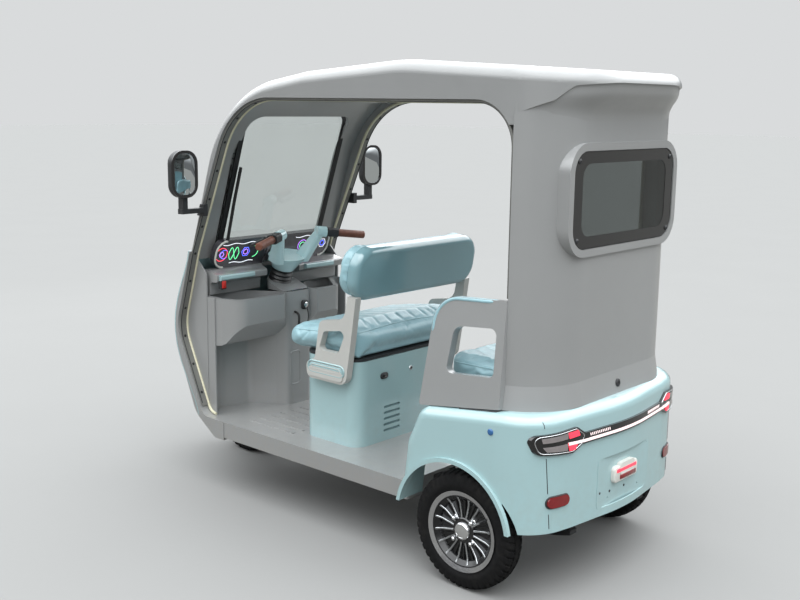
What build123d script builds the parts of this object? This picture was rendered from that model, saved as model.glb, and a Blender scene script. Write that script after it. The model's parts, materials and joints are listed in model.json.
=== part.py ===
"""Small electric cabin tricycle: one steered front wheel, two driven rear wheels.

Millimetres. The vehicle faces -Y, its left side is +X, and it stands on Z = 0.
The origin is under the middle of the overall box.
"""
import math
import os

from build123d import *

os.makedirs("parts", exist_ok=True)

# Overall sizes
overall_length = 2230
wheelbase = 1650
wheel_x = 441
tyre_radius = 206
tyre_width = 88
mudguard_radius = 230
mudguard_half = 54
mudguard_wall = 4
front_end = -overall_length / 2
front_axle_y = front_end + mudguard_radius
rear_axle_y = front_axle_y + wheelbase
reach = 2000

# Clearances
seat_gap = 0.3
running_fit = 0.05

# Cabin
half_width = 437
floor_z = 300
skirt_z = 232
deck_thickness = 12
roof_z = 1768
frame_skin = 30
pillar_width = 45
edge_round = 45
lining_depth = 8
lining_half = 428
wall = 6
opening_top_z = 1636
b_pillar_y = 895
shell_rear_y = 1044
shell_wall = 28
shell_corner = 220
shell_start_y = 700
shell_flare = 13
belt_z = 730
shell_bottom_z = 650
seam_z = 1592
visor_round_loss = 0.6
visor_y = -front_end + visor_round_loss
visor_top_z = 1728
visor_thickness = 34
plan_corner = 280
cowl_z = 1000
header_z = 1594
screen_half = 300
glass_thickness = 5
front_skin_depth = 14
split_z = 1560

# Rear window
window_z = 1325
window_width = 640
window_height = 310
window_corner = 70
window_rim = 26
window_rim_height = 9
window_rim_depth = 79

# Rear body
fender_x = 497
fender_wall = 6
fender_foot_y = 480
bumper_y = 1112
bumper_bottom_z = 256
bumper_joint_x = 380
body_round = 38
arch_radius = 230
arch_y = rear_axle_y - 30
arch_z = tyre_radius + 8
arch_lip = 14

# Steering
rake = 19
steer_z = 894
steer_y = front_axle_y + (steer_z - tyre_radius) * math.tan(math.radians(rake))
axle_distance = (tyre_radius - steer_z) / math.cos(math.radians(rake))
leg_x = 78
stem_radius = 17
crown_distance = -300
gaiter_height = 52
bar_radius = 11
bar_root = (110, -535, 1060)
bar_end = (312, -448, 1036)

# Front seat
box_half = 305
box_front_y = -192
box_rear_y = 110
box_top_z = 640
box_wall = 6
lid_thickness = 10
cushion_top_z = 795
frame_inner_x = 314
frame_width = 30
back_half = 362
back_lean = 9

# Rear seat
bench_front_y = 596
bench_half = 330
bench_top_z = 690

# Wheels
rim_lip_radius = 141
bead_radius = 127
spoke_count = 16
nut_circle = 50
axle_radius = 10
well_radius = tyre_radius + 22

# Chassis
rail_x = 225
rail_width = 40
rail_bottom_z = 240
rail_front_y = -500
rail_joint_y = 480
rail_rear_y = 1020
rail_top_z = floor_z - deck_thickness - seat_gap
leaf_length = 560
leaf_rise = 40
leaf_depth = 16
axle_tube_radius = 28


def save(piece, name):
    """Label a finished piece and write it as one file."""
    piece.part.label = name
    export_step(piece.part, f"parts/{name}.step")


def raked(distance):
    """Y and Z of a point on the steering axis, at a distance up from its top bearing."""
    angle = math.radians(rake)
    return steer_y + distance * math.sin(angle), steer_z + distance * math.cos(angle)


def steer_plane(distance, x=0, y=0):
    """Plane square to the steering axis: local x is +X, local y points to the rear."""
    axis_y, axis_z = raked(distance)
    angle = math.radians(rake)
    point = (x, axis_y + y * math.cos(angle), axis_z - y * math.sin(angle))
    return Plane(origin=point, x_dir=(1, 0, 0), z_dir=(0, math.sin(angle), math.cos(angle)))


def outline(points):
    """Closed line from a table of two coordinates and a corner radius."""
    corners = [(a, b) for a, b, r in points]
    radii = [r for a, b, r in points]
    with BuildLine() as line:
        FilletPolyline(*corners, radius=radii, close=True)
    return line.line


def prism(points, near, far, plane=Plane.YZ, inset=0.0):
    """Solid of an outline, between two distances from its plane."""
    edges = outline(points)
    with BuildPart() as solid:
        with BuildSketch(plane.offset(near)):
            add(edges)
            make_face()
            if inset:
                offset(amount=-inset, kind=Kind.INTERSECTION, mode=Mode.REPLACE)
        extrude(amount=far - near)
    return solid.part


def block(x0, x1, y0, y1, z0, z1):
    """Plain box between two corners, kept out of any part being built."""
    size = Box(x1 - x0, y1 - y0, z1 - z0, mode=Mode.PRIVATE)
    return Pos((x0 + x1) / 2, (y0 + y1) / 2, (z0 + z1) / 2) * size


def above(z):
    """Everything above a height."""
    return block(-reach, reach, -reach, reach, z, z + reach)


def below(z):
    """Everything below a height."""
    return block(-reach, reach, -reach, reach, z - reach, z)


def largest(part):
    """Biggest solid of a part."""
    return part.solids().sort_by(SortBy.VOLUME)[-1]


# Side outline of the cabin from the front foot over the screen and roof to the visor: y, z, radius
cabin_outline = [
    (-596, 222, 20),
    (-722, 306, 120),
    (-872, 655, 210),
    (-535, 1656, 500),
    (-60, 1732, 300),
    (420, roof_z, 900),
    (visor_y, visor_top_z, 0),
    (visor_y, 222, 0),
]

# Space under the roof and its visor at the rear: y, z, radius
under_visor = [
    (b_pillar_y - 2, seam_z, 0),
    (1006, seam_z + 44, 25),
    (1050, visor_top_z - visor_thickness - 14, 20),
    (visor_y - 8, visor_top_z - visor_thickness - 4, 20),
    (visor_y + 40, visor_top_z - visor_thickness + 14, 0),
    (visor_y + 40, 200, 0),
    (b_pillar_y - 2, 200, 0),
]

# Door opening: y, z, radius
door_outline = [
    (-538, 200, 0),
    (-538, floor_z + 1, 0),
    (-676, floor_z + 1, 60),
    (-846, 662, 190),
    (-740, 1000, 500),
    (-460, opening_top_z, 330),
    (b_pillar_y + 1, opening_top_z, 150),
    (b_pillar_y + 1, 200, 0),
]

inner = half_width - pillar_width
knee_y, knee_z = cabin_outline[2][:2]
brow_y, brow_z = cabin_outline[3][:2]
screen_slope = (brow_y - knee_y) / (brow_z - knee_z)
screen_lean = math.degrees(math.atan(screen_slope))
screen_y = knee_y + (cowl_z - knee_z) * screen_slope
screen_height = (header_z - cowl_z) / math.cos(math.radians(screen_lean))


def screen_plane(offset_out):
    """Plane of the windscreen, its origin at the cowl: local x is +X, local y runs up the glass."""
    angle = math.radians(screen_lean)
    normal = (0, -math.cos(angle), math.sin(angle))
    base = Plane(origin=(0, screen_y, cowl_z), x_dir=(1, 0, 0), z_dir=normal)
    return base.offset(offset_out)


# Sections of the front fairing from the foot to the cowl: z, y at the side, bow
fairing_sections = [
    (floor_z, -716, 64),
    (480, -808, 96),
    (655, -864, 104),
    (840, -822, 76),
    (cowl_z, screen_y - 4, 4),
]
fairing_wall = 8
fairing_return = 14
fairing_corner = 12


def fairing_volume(inset):
    """Nose of the cabin between two bowed faces, moved inward by an inset."""
    side = half_width - inset
    corner = side - fairing_corner
    bend = fairing_corner * 0.29
    with BuildPart() as solid:
        for z, y, bow in fairing_sections:
            front = y + inset
            back = y + fairing_return + 2 * abs(inset)
            with BuildSketch(Plane.XY.offset(z)):
                with BuildLine():
                    Line((-side, back), (-side, front + fairing_corner))
                    ThreePointArc((-side, front + fairing_corner), (-side + bend, front + bend), (-corner, front))
                    ThreePointArc((-corner, front), (0, front - bow), (corner, front))
                    ThreePointArc((corner, front), (side - bend, front + bend), (side, front + fairing_corner))
                    Line((side, front + fairing_corner), (side, back))
                    Line((side, back), (-side, back))
                make_face()
        loft()
    return solid.part


fairing_outer = fairing_volume(0)
fairing_inner = fairing_volume(fairing_wall)

# Front fairing, open at the foot over the wheel
with BuildPart() as front_fairing:
    add(fairing_outer)
    add(fairing_inner, mode=Mode.SUBTRACT)
    with BuildSketch(Plane.XZ.offset(500)):
        with Locations((0, floor_z)):
            RectangleRounded(430, 360, 110)
    extrude(amount=700, mode=Mode.SUBTRACT)
save(front_fairing, "front_fairing")

# Room that the cabin frame leaves for the fairing
fairing_clear = fairing_volume(-seat_gap)
fairing_seat = fairing_volume(fairing_wall + seat_gap)
with BuildPart() as fairing_room:
    add(fairing_clear)
    add(fairing_seat, mode=Mode.SUBTRACT)

cabin_volume = prism(cabin_outline, -half_width, half_width)
hollow_form = prism(cabin_outline, -inner, inner, inset=frame_skin)
front_inside = prism(cabin_outline, -inner, inner, inset=front_skin_depth)
door_volume = prism(door_outline, -reach, reach)
visor_space = prism(under_visor, -reach, reach)

with BuildPart() as cabin_inside:
    add(hollow_form)
    hollow_corners = cabin_inside.edges().filter_by(Axis.Z).group_by(Axis.Y)[-1]
    fillet(hollow_corners, plan_corner - pillar_width)

with BuildPart() as rounded_cabin:
    add(cabin_volume)
    rear_corners = rounded_cabin.edges().filter_by(Axis.Z).group_by(Axis.Y)[-1]
    fillet(rear_corners, plan_corner)
    side_edges = rounded_cabin.edges().filter_by(lambda e: abs(abs(e.center().X) - half_width) < 0.1)
    outer_edges = side_edges.filter_by(lambda e: e.center().Z > 1740 or e.center().Y < -300)
    fillet(outer_edges, edge_round)
    add(below(cowl_z), mode=Mode.SUBTRACT)

# Rounded above the cowl, square behind the fairing
with BuildPart() as cabin_solid:
    add(cabin_volume)
    add(above(cowl_z), mode=Mode.SUBTRACT)
    add(rounded_cabin.part)

# Screen opening, right through the front skin
with BuildPart() as screen_opening:
    with BuildSketch(screen_plane(-150)):
        with Locations((0, screen_height / 2)):
            RectangleRounded(2 * screen_half - 24, screen_height - 24, 60)
    extrude(amount=300)

# Cabin frame: screen pillars, header and roof rails in one with the roof skin
with BuildPart() as cabin_frame:
    add(cabin_solid.part)
    add(cabin_inside.part, mode=Mode.SUBTRACT)
    add(visor_space, mode=Mode.SUBTRACT)
    add(block(-inner, inner, -reach, b_pillar_y + 60, 0, seam_z + 30), mode=Mode.SUBTRACT)
    add(door_volume, mode=Mode.SUBTRACT)
    add(fairing_room.part, mode=Mode.SUBTRACT)

# Front skin between the pillars, above the cowl, with the screen opening
with BuildPart() as front_skin:
    add(cabin_solid.part)
    add(front_inside, mode=Mode.SUBTRACT)
    add(block(-inner, inner, -reach, -200, cowl_z - 40, reach), mode=Mode.INTERSECT)
    add(screen_opening.part, mode=Mode.SUBTRACT)
    add(fairing_room.part, mode=Mode.SUBTRACT)

with BuildPart() as roof:
    add(cabin_frame.part)
    add(front_skin.part)
    add(below(split_z), mode=Mode.SUBTRACT)
save(roof, "roof")

with BuildPart() as frame_form:
    add(cabin_frame.part)
    add(front_skin.part)
    add(block(-reach, reach, -reach, 0, 0, split_z), mode=Mode.INTERSECT)
with BuildPart() as screen_frame:
    add(largest(frame_form.part))
save(screen_frame, "screen_frame")

# Dark linings of the door openings, one on each side
door_seat = prism(door_outline, -reach, reach, inset=seat_gap)
lining_form = prism(door_outline, inner + 4, lining_half, inset=seat_gap)
lining_hole = prism(door_outline, inner + 3, lining_half + 1, inset=lining_depth + seat_gap)
with BuildPart() as door_surrounds:
    add(lining_form)
    add(lining_hole, mode=Mode.SUBTRACT)
    add(block(0, reach, b_pillar_y, reach, 0, reach), mode=Mode.SUBTRACT)
    add(below(floor_z + 40), mode=Mode.SUBTRACT)
    add(block(0, reach, 540, reach, 0, 1012), mode=Mode.SUBTRACT)
    add(fairing_room.part, mode=Mode.SUBTRACT)
    mirror(about=Plane.YZ)
save(door_surrounds, "door_surrounds")

# Windscreen, flat and leaning, seated against the inside of the front skin
with BuildPart() as windscreen:
    with BuildSketch(screen_plane(-front_skin_depth - glass_thickness)):
        with Locations((0, screen_height / 2)):
            RectangleRounded(2 * screen_half + 20, screen_height + 20, 60)
    extrude(amount=glass_thickness)
    add(cabin_frame.part, mode=Mode.SUBTRACT)
    add(front_skin.part, mode=Mode.SUBTRACT)
save(windscreen, "windscreen")

# Plan of the rear shell: x, y, radius
shell_plan = [
    (half_width + 10, shell_start_y, 0),
    (half_width + 6, shell_rear_y, shell_corner),
    (-half_width - 6, shell_rear_y, shell_corner),
    (-half_width - 10, shell_start_y, 0),
]
inner_half = half_width - shell_wall
inner_rear_y = shell_rear_y - shell_wall
inner_shell_plan = [
    (inner_half + 10, shell_start_y - 1, 0),
    (inner_half + 6, inner_rear_y, shell_corner - shell_wall),
    (-inner_half - 6, inner_rear_y, shell_corner - shell_wall),
    (-inner_half - 10, shell_start_y - 1, 0),
]
foot_plan = [
    (half_width + 10 + shell_flare, shell_start_y, 0),
    (half_width + 6 + shell_flare, shell_rear_y + shell_flare, shell_corner + shell_flare),
    (-half_width - 6 - shell_flare, shell_rear_y + shell_flare, shell_corner + shell_flare),
    (-half_width - 10 - shell_flare, shell_start_y, 0),
]
shell_outer = prism(shell_plan, belt_z, roof_z, plane=Plane.XY)
shell_inner = prism(inner_shell_plan, shell_bottom_z - 1, roof_z, plane=Plane.XY)
foot_edges = outline(foot_plan)
belt_edges = outline(shell_plan)
window_face = Plane.XZ.offset(-shell_rear_y)
rim_width = window_width + 2 * window_rim
rim_height = window_height + 2 * window_rim

with BuildPart() as rear_shell:
    with BuildSketch(Plane.XY.offset(shell_bottom_z)):
        add(foot_edges)
        make_face()
    with BuildSketch(Plane.XY.offset(belt_z)):
        add(belt_edges)
        make_face()
    loft()
    add(shell_outer)
    with BuildSketch(window_face.offset(-window_rim_height)):
        with Locations((0, window_z)):
            RectangleRounded(rim_width, rim_height, window_corner + window_rim)
    extrude(amount=window_rim_depth)
    with BuildSketch(window_face):
        with Locations((0, window_z)):
            RectangleRounded(window_width + 2, window_height + 2, window_corner)
    extrude(amount=-window_rim_height, mode=Mode.SUBTRACT)
    add(shell_inner, mode=Mode.SUBTRACT)
    add(visor_space, mode=Mode.INTERSECT)
    with BuildSketch(Plane.XZ.offset(-reach)):
        with Locations((0, window_z)):
            RectangleRounded(window_width - 40, window_height - 40, window_corner - 15)
    extrude(amount=reach - b_pillar_y - 40, mode=Mode.SUBTRACT)
    add(block(-reach, reach, b_pillar_y, reach, 0, reach), mode=Mode.INTERSECT)
save(rear_shell, "rear_shell")

with BuildPart() as rear_window:
    with BuildSketch(window_face.offset(-glass_thickness)):
        with Locations((0, window_z)):
            RectangleRounded(window_width, window_height, window_corner)
    extrude(amount=glass_thickness)
save(rear_window, "rear_window")

# Rear body in plan: x, y, radius
body_plan = [
    (fender_x, fender_foot_y, 0),
    (fender_x, 1040, 180),
    (300, bumper_y - 34, 300),
    (0, bumper_y + 4, 900),
    (-300, bumper_y - 34, 300),
    (-fender_x, 1040, 180),
    (-fender_x, fender_foot_y, 0),
]

# Top and front of the rear body seen from the side: y, z, radius
body_side = [
    (fender_foot_y - 20, 100, 0),
    (493, bumper_bottom_z, 0),
    (520, 475, 80),
    (572, 594, 60),
    (604, 611, 20),
    (920, shell_bottom_z, 120),
    (1300, shell_bottom_z, 0),
    (1300, 100, 0),
]


def body_core(plan_inset, side_inset):
    """Rear body as a closed block with sharp edges, moved inward in plan and from the side."""
    plan_edges = outline(body_plan)
    side_form = prism(body_side, -reach, reach, inset=side_inset)
    with BuildPart() as solid:
        with BuildSketch(Plane.XY.offset(bumper_bottom_z - plan_inset)):
            add(plan_edges)
            make_face()
            if plan_inset:
                offset(amount=-plan_inset, kind=Kind.INTERSECTION, mode=Mode.REPLACE)
        extrude(amount=shell_bottom_z)
        add(side_form, mode=Mode.INTERSECT)
    return solid.part


def band_form(grow, low, high):
    """Slice of the rear body in plan, grown outward by a distance, between two heights."""
    edges = outline(body_plan)
    with BuildPart() as solid:
        with BuildSketch(Plane.XY.offset(low)):
            add(edges)
            make_face()
            if grow:
                offset(amount=grow, kind=Kind.INTERSECTION, mode=Mode.REPLACE)
        extrude(amount=high - low)
    return solid.part


body_block = body_core(0, 0)
low_hollow = body_core(fender_wall, body_round)
high_hollow = body_core(body_round / 2, fender_wall + 8)

with BuildPart() as body_skin:
    add(body_block)
    top_edges = body_skin.faces().filter_by(lambda f: f.normal_at().Z > 0.7).edges()
    fillet(top_edges.filter_by(lambda e: abs(e.center().X) > 1 or e.center().Y > 1000), body_round)
    for side in (1, -1):
        with BuildSketch(Plane.YZ.offset(side * fender_x - 10)):
            with Locations((arch_y, arch_z)):
                Circle(arch_radius + arch_lip)
        extrude(amount=20)
    add(low_hollow, mode=Mode.SUBTRACT)
    add(high_hollow, mode=Mode.SUBTRACT)
    add(block(-350, 350, 0, inner_rear_y, 0, reach), mode=Mode.SUBTRACT)
    add(below(bumper_bottom_z), mode=Mode.SUBTRACT)
    for side in (1, -1):
        with BuildSketch(Plane.YZ.offset(side * fender_x - 60)):
            with Locations((arch_y, arch_z)):
                Circle(arch_radius)
            with Locations((arch_y, arch_z - arch_radius / 2)):
                Rectangle(2 * arch_radius, arch_radius)
        extrude(amount=120, mode=Mode.SUBTRACT)

well_x0 = bumper_joint_x
well_x1 = fender_x - fender_wall
with BuildPart() as rear_fenders:
    add(body_skin.part)
    add(block(bumper_joint_x, reach, 0, reach, 0, reach), mode=Mode.INTERSECT)
    with BuildSketch(Plane.YZ.offset(well_x0)):
        with Locations((rear_axle_y, tyre_radius)):
            Circle(well_radius)
    extrude(amount=well_x1 - well_x0, mode=Mode.SUBTRACT)
    mirror(about=Plane.YZ)
save(rear_fenders, "rear_fenders")

# Number plate seat, flat and set back, with two holes
plate_y = 1096
plate_hole_radius = 3
plate_hole_spacing = 200
plate_hole_z = 310
with BuildPart() as rear_bumper:
    add(body_skin.part)
    add(block(-bumper_joint_x, bumper_joint_x, 900, reach, 0, reach), mode=Mode.INTERSECT)
    with BuildSketch(Plane.XZ.offset(-plate_y)):
        with Locations((0, 372)):
            RectangleRounded(320, 176, 26)
    extrude(amount=-60, mode=Mode.SUBTRACT)
    with BuildSketch(Plane.XZ.offset(-plate_y)):
        with Locations((0, 372)):
            RectangleRounded(340, 196, 30)
    extrude(amount=6)
    with BuildSketch(Plane.XZ.offset(-plate_y - 20)):
        with Locations((0, plate_hole_z)):
            with GridLocations(plate_hole_spacing, 0, 2, 1):
                Circle(plate_hole_radius)
    extrude(amount=60, mode=Mode.SUBTRACT)
save(rear_bumper, "rear_bumper")

# Floor deck in plan, a tray with a skirt wrapped round the foot of the leg shield: x, y, radius
deck_half = half_width - 2
deck_plan = [
    (deck_half, -538, 3),
    (inner - 1, -538, 0),
    (inner - 1, -700, 30),
    (290, -740, 60),
    (165, -692, 50),
    (96, -596, 30),
    (66, -542, 30),
    (-66, -542, 30),
    (-96, -596, 30),
    (-165, -692, 50),
    (-290, -740, 60),
    (-inner + 1, -700, 30),
    (-inner + 1, -538, 0),
    (-deck_half, -538, 3),
    (-deck_half, rail_joint_y + 4, 10),
    (deck_half, rail_joint_y + 4, 10),
]
skirt_wall = 10
deck_edges = outline(deck_plan)
with BuildPart() as floor_deck:
    with BuildSketch(Plane.XY.offset(skirt_z)):
        add(deck_edges)
        make_face()
    extrude(amount=floor_z - skirt_z)
    with BuildSketch(Plane.XY.offset(skirt_z)):
        add(deck_edges)
        make_face()
        offset(amount=-skirt_wall, kind=Kind.INTERSECTION, mode=Mode.REPLACE)
    extrude(amount=floor_z - skirt_z - deck_thickness, mode=Mode.SUBTRACT)
    add(block(-290, 290, -720, -500, skirt_z - 1, floor_z - deck_thickness), mode=Mode.SUBTRACT)
    add(block(-290, 290, rail_joint_y - 20, 560, skirt_z - 1, floor_z - deck_thickness), mode=Mode.SUBTRACT)
    with BuildSketch(Plane.XY.offset(floor_z)):
        with Locations((0, -345)):
            with GridLocations(56, 0, 13, 1):
                Rectangle(16, 260)
    extrude(amount=3)
save(floor_deck, "floor_deck")

# Leg shield in plan, the wall behind the front wheel: x, y, radius
shield_top_z = 808
shield_half = inner - seat_gap - wall
shield_line = [
    (shield_half, -640, 0),
    (shield_half, -700, 30),
    (290, -728, 60),
    (165, -686, 50),
    (96, -590, 30),
    (66, -536, 40),
    (-66, -536, 40),
    (-96, -590, 30),
    (-165, -686, 50),
    (-290, -728, 60),
    (-shield_half, -700, 30),
    (-shield_half, -640, 0),
]
shield_room = shield_line + [(-shield_half, -300, 0), (shield_half, -300, 0)]

# Glove pockets in plan on both sides of the column: x, y, radius
pocket_wall = 5
pocket_lip = 20
pocket_left_plan = [
    (shield_half + 1, -760, 0),
    (shield_half + 1, -606, 0),
    (352, -516, 70),
    (112, -512, 16),
    (60, -560, 0),
    (60, -760, 0),
]
pocket_right_plan = [
    (-60, -760, 0),
    (-60, -560, 0),
    (-84, -512, 12),
    (-214, -512, 46),
    (-352, -690, 40),
    (-360, -760, 0),
]
# The same pockets from the side: y, z, radius
pocket_side = [
    (-780, 590, 0),
    (-690, 596, 40),
    (-590, 612, 60),
    (-500, 716, 40),
    (-500, shield_top_z, 0),
    (-780, shield_top_z, 0),
]
room_volume = prism(shield_room, 0, reach, plane=Plane.XY, inset=seat_gap)
pocket_outside = prism(pocket_side, -reach, reach)
pocket_inside = prism(pocket_side, -reach, reach, inset=pocket_wall)
pocket_forms = []
for plan in (pocket_left_plan, pocket_right_plan):
    full = prism(plan, 500, shield_top_z, plane=Plane.XY)
    hollow = prism(plan, 500, shield_top_z - 6, plane=Plane.XY, inset=pocket_wall)
    mouth = prism(plan, shield_top_z - 20, shield_top_z + 1, plane=Plane.XY, inset=pocket_lip)
    pocket_forms.append((full, hollow, mouth))

shield_corners = [(x, y) for x, y, r in shield_line]
shield_radii = [r for x, y, r in shield_line[1:-1]]
with BuildPart() as shield_sheet:
    with BuildSketch(Plane.XY.offset(floor_z)):
        with BuildLine():
            FilletPolyline(*shield_corners, radius=shield_radii)
            offset(amount=wall, side=Side.LEFT)
        make_face()
    extrude(amount=shield_top_z - floor_z)

pocket_parts = []
for full, hollow, mouth in pocket_forms:
    with BuildPart() as pocket:
        add(full)
        add(pocket_outside, mode=Mode.INTERSECT)
        add(room_volume, mode=Mode.INTERSECT)
        add(shield_sheet.part, mode=Mode.SUBTRACT)
    with BuildPart() as pocket_room:
        add(hollow)
        add(mouth)
        add(pocket_inside, mode=Mode.INTERSECT)
    with BuildPart() as pocket_top:
        add(mouth)
        add(below(shield_top_z - 12), mode=Mode.SUBTRACT)
    with BuildPart() as shell:
        add(largest(pocket.part))
        add(pocket_room.part, mode=Mode.SUBTRACT)
        add(pocket_top.part, mode=Mode.SUBTRACT)
    pocket_parts.append(shell.part)

# Side walls of the leg shield, up to the front posts: y, z, radius
shield_side = [
    (-690, floor_z + 1, 0),
    (-690, 905, 40),
    (-745, cowl_z - 42, 0),
    (-756, cowl_z - 42, 0),
    (-800, 820, 0),
    (-838, 662, 150),
    (-697, 330, 60),
    (-697, floor_z + 1, 0),
]
side_wall = prism(shield_side, shield_half, shield_half + wall)

with BuildPart() as leg_shield:
    add(shield_sheet.part)
    add(side_wall)
    add(mirror(side_wall, about=Plane.YZ, mode=Mode.PRIVATE))
save(leg_shield, "leg_shield")

with BuildPart() as shield_pockets:
    for form in pocket_parts:
        add(form)
save(shield_pockets, "shield_pockets")

# Dash shelf seen from the side: y, z, radius
display_y = -736
shelf_top_z = 916
shelf_half = 372
cap_half = 78
shelf_side = [
    (-748, shield_top_z + seat_gap, 0),
    (-694, shield_top_z + seat_gap, 8),
    (-690, 868, 14),
    (-644, 872, 6),
    (-640, 902, 10),
    (-700, shelf_top_z, 6),
    (-748, shelf_top_z, 0),
]
shelf_volume = prism(shelf_side, -shelf_half, shelf_half)
shelf_swing = 96
with BuildPart() as dash_shelf:
    add(shelf_volume)
    with BuildSketch(steer_plane(-160)):
        Circle(shelf_swing)
    extrude(amount=300, mode=Mode.SUBTRACT)
    add(cabin_frame.part, mode=Mode.SUBTRACT)
save(dash_shelf, "dash_shelf")

# Blue edge strips of the shelf: x from, x to
strip_table = ((178, 362), (-300, -128))
strip_side = [
    (-648, 878, 0),
    (-626, 879, 7),
    (-627, 902, 7),
    (-648, 901, 0),
]
strip_forms = [prism(strip_side, x0, x1) for x0, x1 in strip_table]
with BuildPart() as dash_strips:
    for form in strip_forms:
        add(form)
    add(dash_shelf.part, mode=Mode.SUBTRACT)
save(dash_strips, "dash_strips")

# Instrument display leaning on the screen, with rounded ends
display_height = 128
display_thickness = 26
display_half = 336
display_plane = Plane(origin=(0, display_y + 14, shelf_top_z + seat_gap), x_dir=(1, 0, 0),
                      z_dir=(0, math.cos(math.radians(screen_lean)), -math.sin(math.radians(screen_lean))))
with BuildPart() as dash_unit:
    with BuildSketch(display_plane.offset(-display_thickness)):
        with Locations((0, -display_height / 2)):
            RectangleRounded(2 * display_half, display_height, 50)
    extrude(amount=display_thickness)
    add(below(shelf_top_z + seat_gap), mode=Mode.SUBTRACT)
    with BuildSketch(steer_plane(-20)):
        Circle(shelf_swing)
    extrude(amount=200, mode=Mode.SUBTRACT)
    add(cabin_frame.part, mode=Mode.SUBTRACT)
    add(front_skin.part, mode=Mode.SUBTRACT)
    add(windscreen.part, mode=Mode.SUBTRACT)
save(dash_unit, "dash_unit")

# Cap of the steering column, its top square to the steering axis
with BuildPart() as column_cap:
    with BuildSketch(Plane.XY.offset(shield_top_z)):
        with Locations((0, -618)):
            RectangleRounded(2 * cap_half, 176, 70)
    extrude(amount=90)
    with BuildSketch(steer_plane(-gaiter_height - seat_gap)):
        Rectangle(600, 600)
    extrude(amount=200, mode=Mode.SUBTRACT)
    with BuildSketch(steer_plane(-200)):
        Circle(40)
    extrude(amount=200, mode=Mode.SUBTRACT)
    add(dash_shelf.part, mode=Mode.SUBTRACT)
save(column_cap, "column_cap")

# Bellows between the column cap and the yoke
bellows = [
    (stem_radius + seat_gap, -gaiter_height),
    (52, -gaiter_height),
    (46, -44),
    (52, -36),
    (45, -27),
    (50, -18),
    (43, -9),
    (46, 0),
    (stem_radius + seat_gap, 0),
]
with BuildPart() as bellows_form:
    with BuildSketch(Plane.XZ):
        with BuildLine():
            Polyline(*bellows, close=True)
        make_face()
    revolve(axis=Axis.Z)
placed_bellows = steer_plane(0).location * bellows_form.part
with BuildPart() as steering_gaiter:
    add(placed_bellows)
save(steering_gaiter, "steering_gaiter")

# Yoke: a bowl on the stem, two horns and the sleeves that hold the bar
yoke_bottom = 4
yoke_top = 72
root_x, root_y, root_z = bar_root
end_x, end_y, end_z = bar_end
bar_run = math.dist(bar_root, bar_end)
bar_axis = ((end_x - root_x) / bar_run, (end_y - root_y) / bar_run, (end_z - root_z) / bar_run)


def bar_plane(distance):
    """Plane across the left half of the handlebar, at a distance out from its root."""
    point = [a + distance * b for a, b in zip(bar_root, bar_axis)]
    return Plane(origin=tuple(point), x_dir=(0, 1, 0), z_dir=bar_axis)


sleeve_half = 24
sleeve_from = -10
sleeve_to = 36
switch_to = 92
with BuildPart() as horn:
    with BuildSketch(steer_plane(yoke_top - 20, 74, 24)):
        RectangleRounded(52, 74, 20)
    with BuildSketch(Plane(origin=(root_x + 10, root_y, root_z - 4), x_dir=(1, 0, 0), z_dir=(0.3, 0.1, 0.95))):
        RectangleRounded(40, 44, 15)
    loft()
    with BuildSketch(bar_plane(sleeve_from)):
        Circle(sleeve_half)
    extrude(amount=sleeve_to - sleeve_from)
with BuildPart() as steering_yoke:
    with BuildSketch(steer_plane(yoke_bottom)):
        Circle(50)
    with BuildSketch(steer_plane(yoke_top, 0, 14)):
        Ellipse(104, 62)
    loft()
    add(horn.part)
    add(mirror(horn.part, about=Plane.YZ, mode=Mode.PRIVATE))
save(steering_yoke, "steering_yoke")

# Bar ends, grips and switch blocks with their levers
with BuildPart() as handlebar:
    with BuildSketch(bar_plane(sleeve_to + seat_gap)):
        Circle(bar_radius)
    extrude(amount=bar_run - sleeve_to - seat_gap - 4)
    mirror(about=Plane.YZ)
save(handlebar, "handlebar")

grip_end = bar_run
with BuildPart() as grips:
    with BuildSketch(bar_plane(switch_to + 1)):
        Circle(17)
    extrude(amount=grip_end - switch_to - 1)
    fillet(grips.edges().group_by(Axis.X)[-1], 5)
    with BuildSketch(bar_plane(0)):
        Circle(bar_radius)
    extrude(amount=bar_run - 4, mode=Mode.SUBTRACT)
    mirror(about=Plane.YZ)
save(grips, "grips")

with BuildPart() as switch_blocks:
    with BuildSketch(bar_plane(sleeve_to + 2)):
        RectangleRounded(46, 40, 12)
    extrude(amount=switch_to - sleeve_to - 4)
    with BuildSketch(bar_plane(switch_to - 24)):
        with Locations((-28, 2)):
            RectangleRounded(30, 16, 5)
    extrude(amount=18)
    with BuildSketch(bar_plane(switch_to - 12)):
        with Locations((-40, 2)):
            RectangleRounded(9, 12, 3)
    extrude(amount=bar_run - switch_to)
    with BuildSketch(bar_plane(0)):
        Circle(bar_radius)
    extrude(amount=bar_run - 4, mode=Mode.SUBTRACT)
    mirror(about=Plane.YZ)
save(switch_blocks, "switch_blocks")

# Front fork: stem, crown, two legs and the wheel spindle
crown_thickness = 30
leg_radius = 17
slider_radius = 23
spindle_y, spindle_z = raked(axle_distance)
with BuildPart() as front_fork:
    with BuildSketch(steer_plane(crown_distance)):
        Circle(stem_radius)
    extrude(amount=yoke_bottom - crown_distance)
    with BuildSketch(steer_plane(crown_distance - crown_thickness)):
        SlotOverall(2 * (leg_x + slider_radius + 3), 52)
    extrude(amount=crown_thickness)
    for side in (1, -1):
        with BuildSketch(steer_plane(axle_distance, side * leg_x)):
            Circle(leg_radius)
        extrude(amount=crown_distance - crown_thickness - axle_distance)
        with BuildSketch(steer_plane(axle_distance - 30, side * leg_x)):
            Circle(slider_radius)
        extrude(amount=210)
    with BuildSketch(Plane.YZ.offset(-leg_x)):
        with Locations((spindle_y, spindle_z)):
            Circle(axle_radius)
    extrude(amount=2 * leg_x)
save(front_fork, "front_fork")

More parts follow.
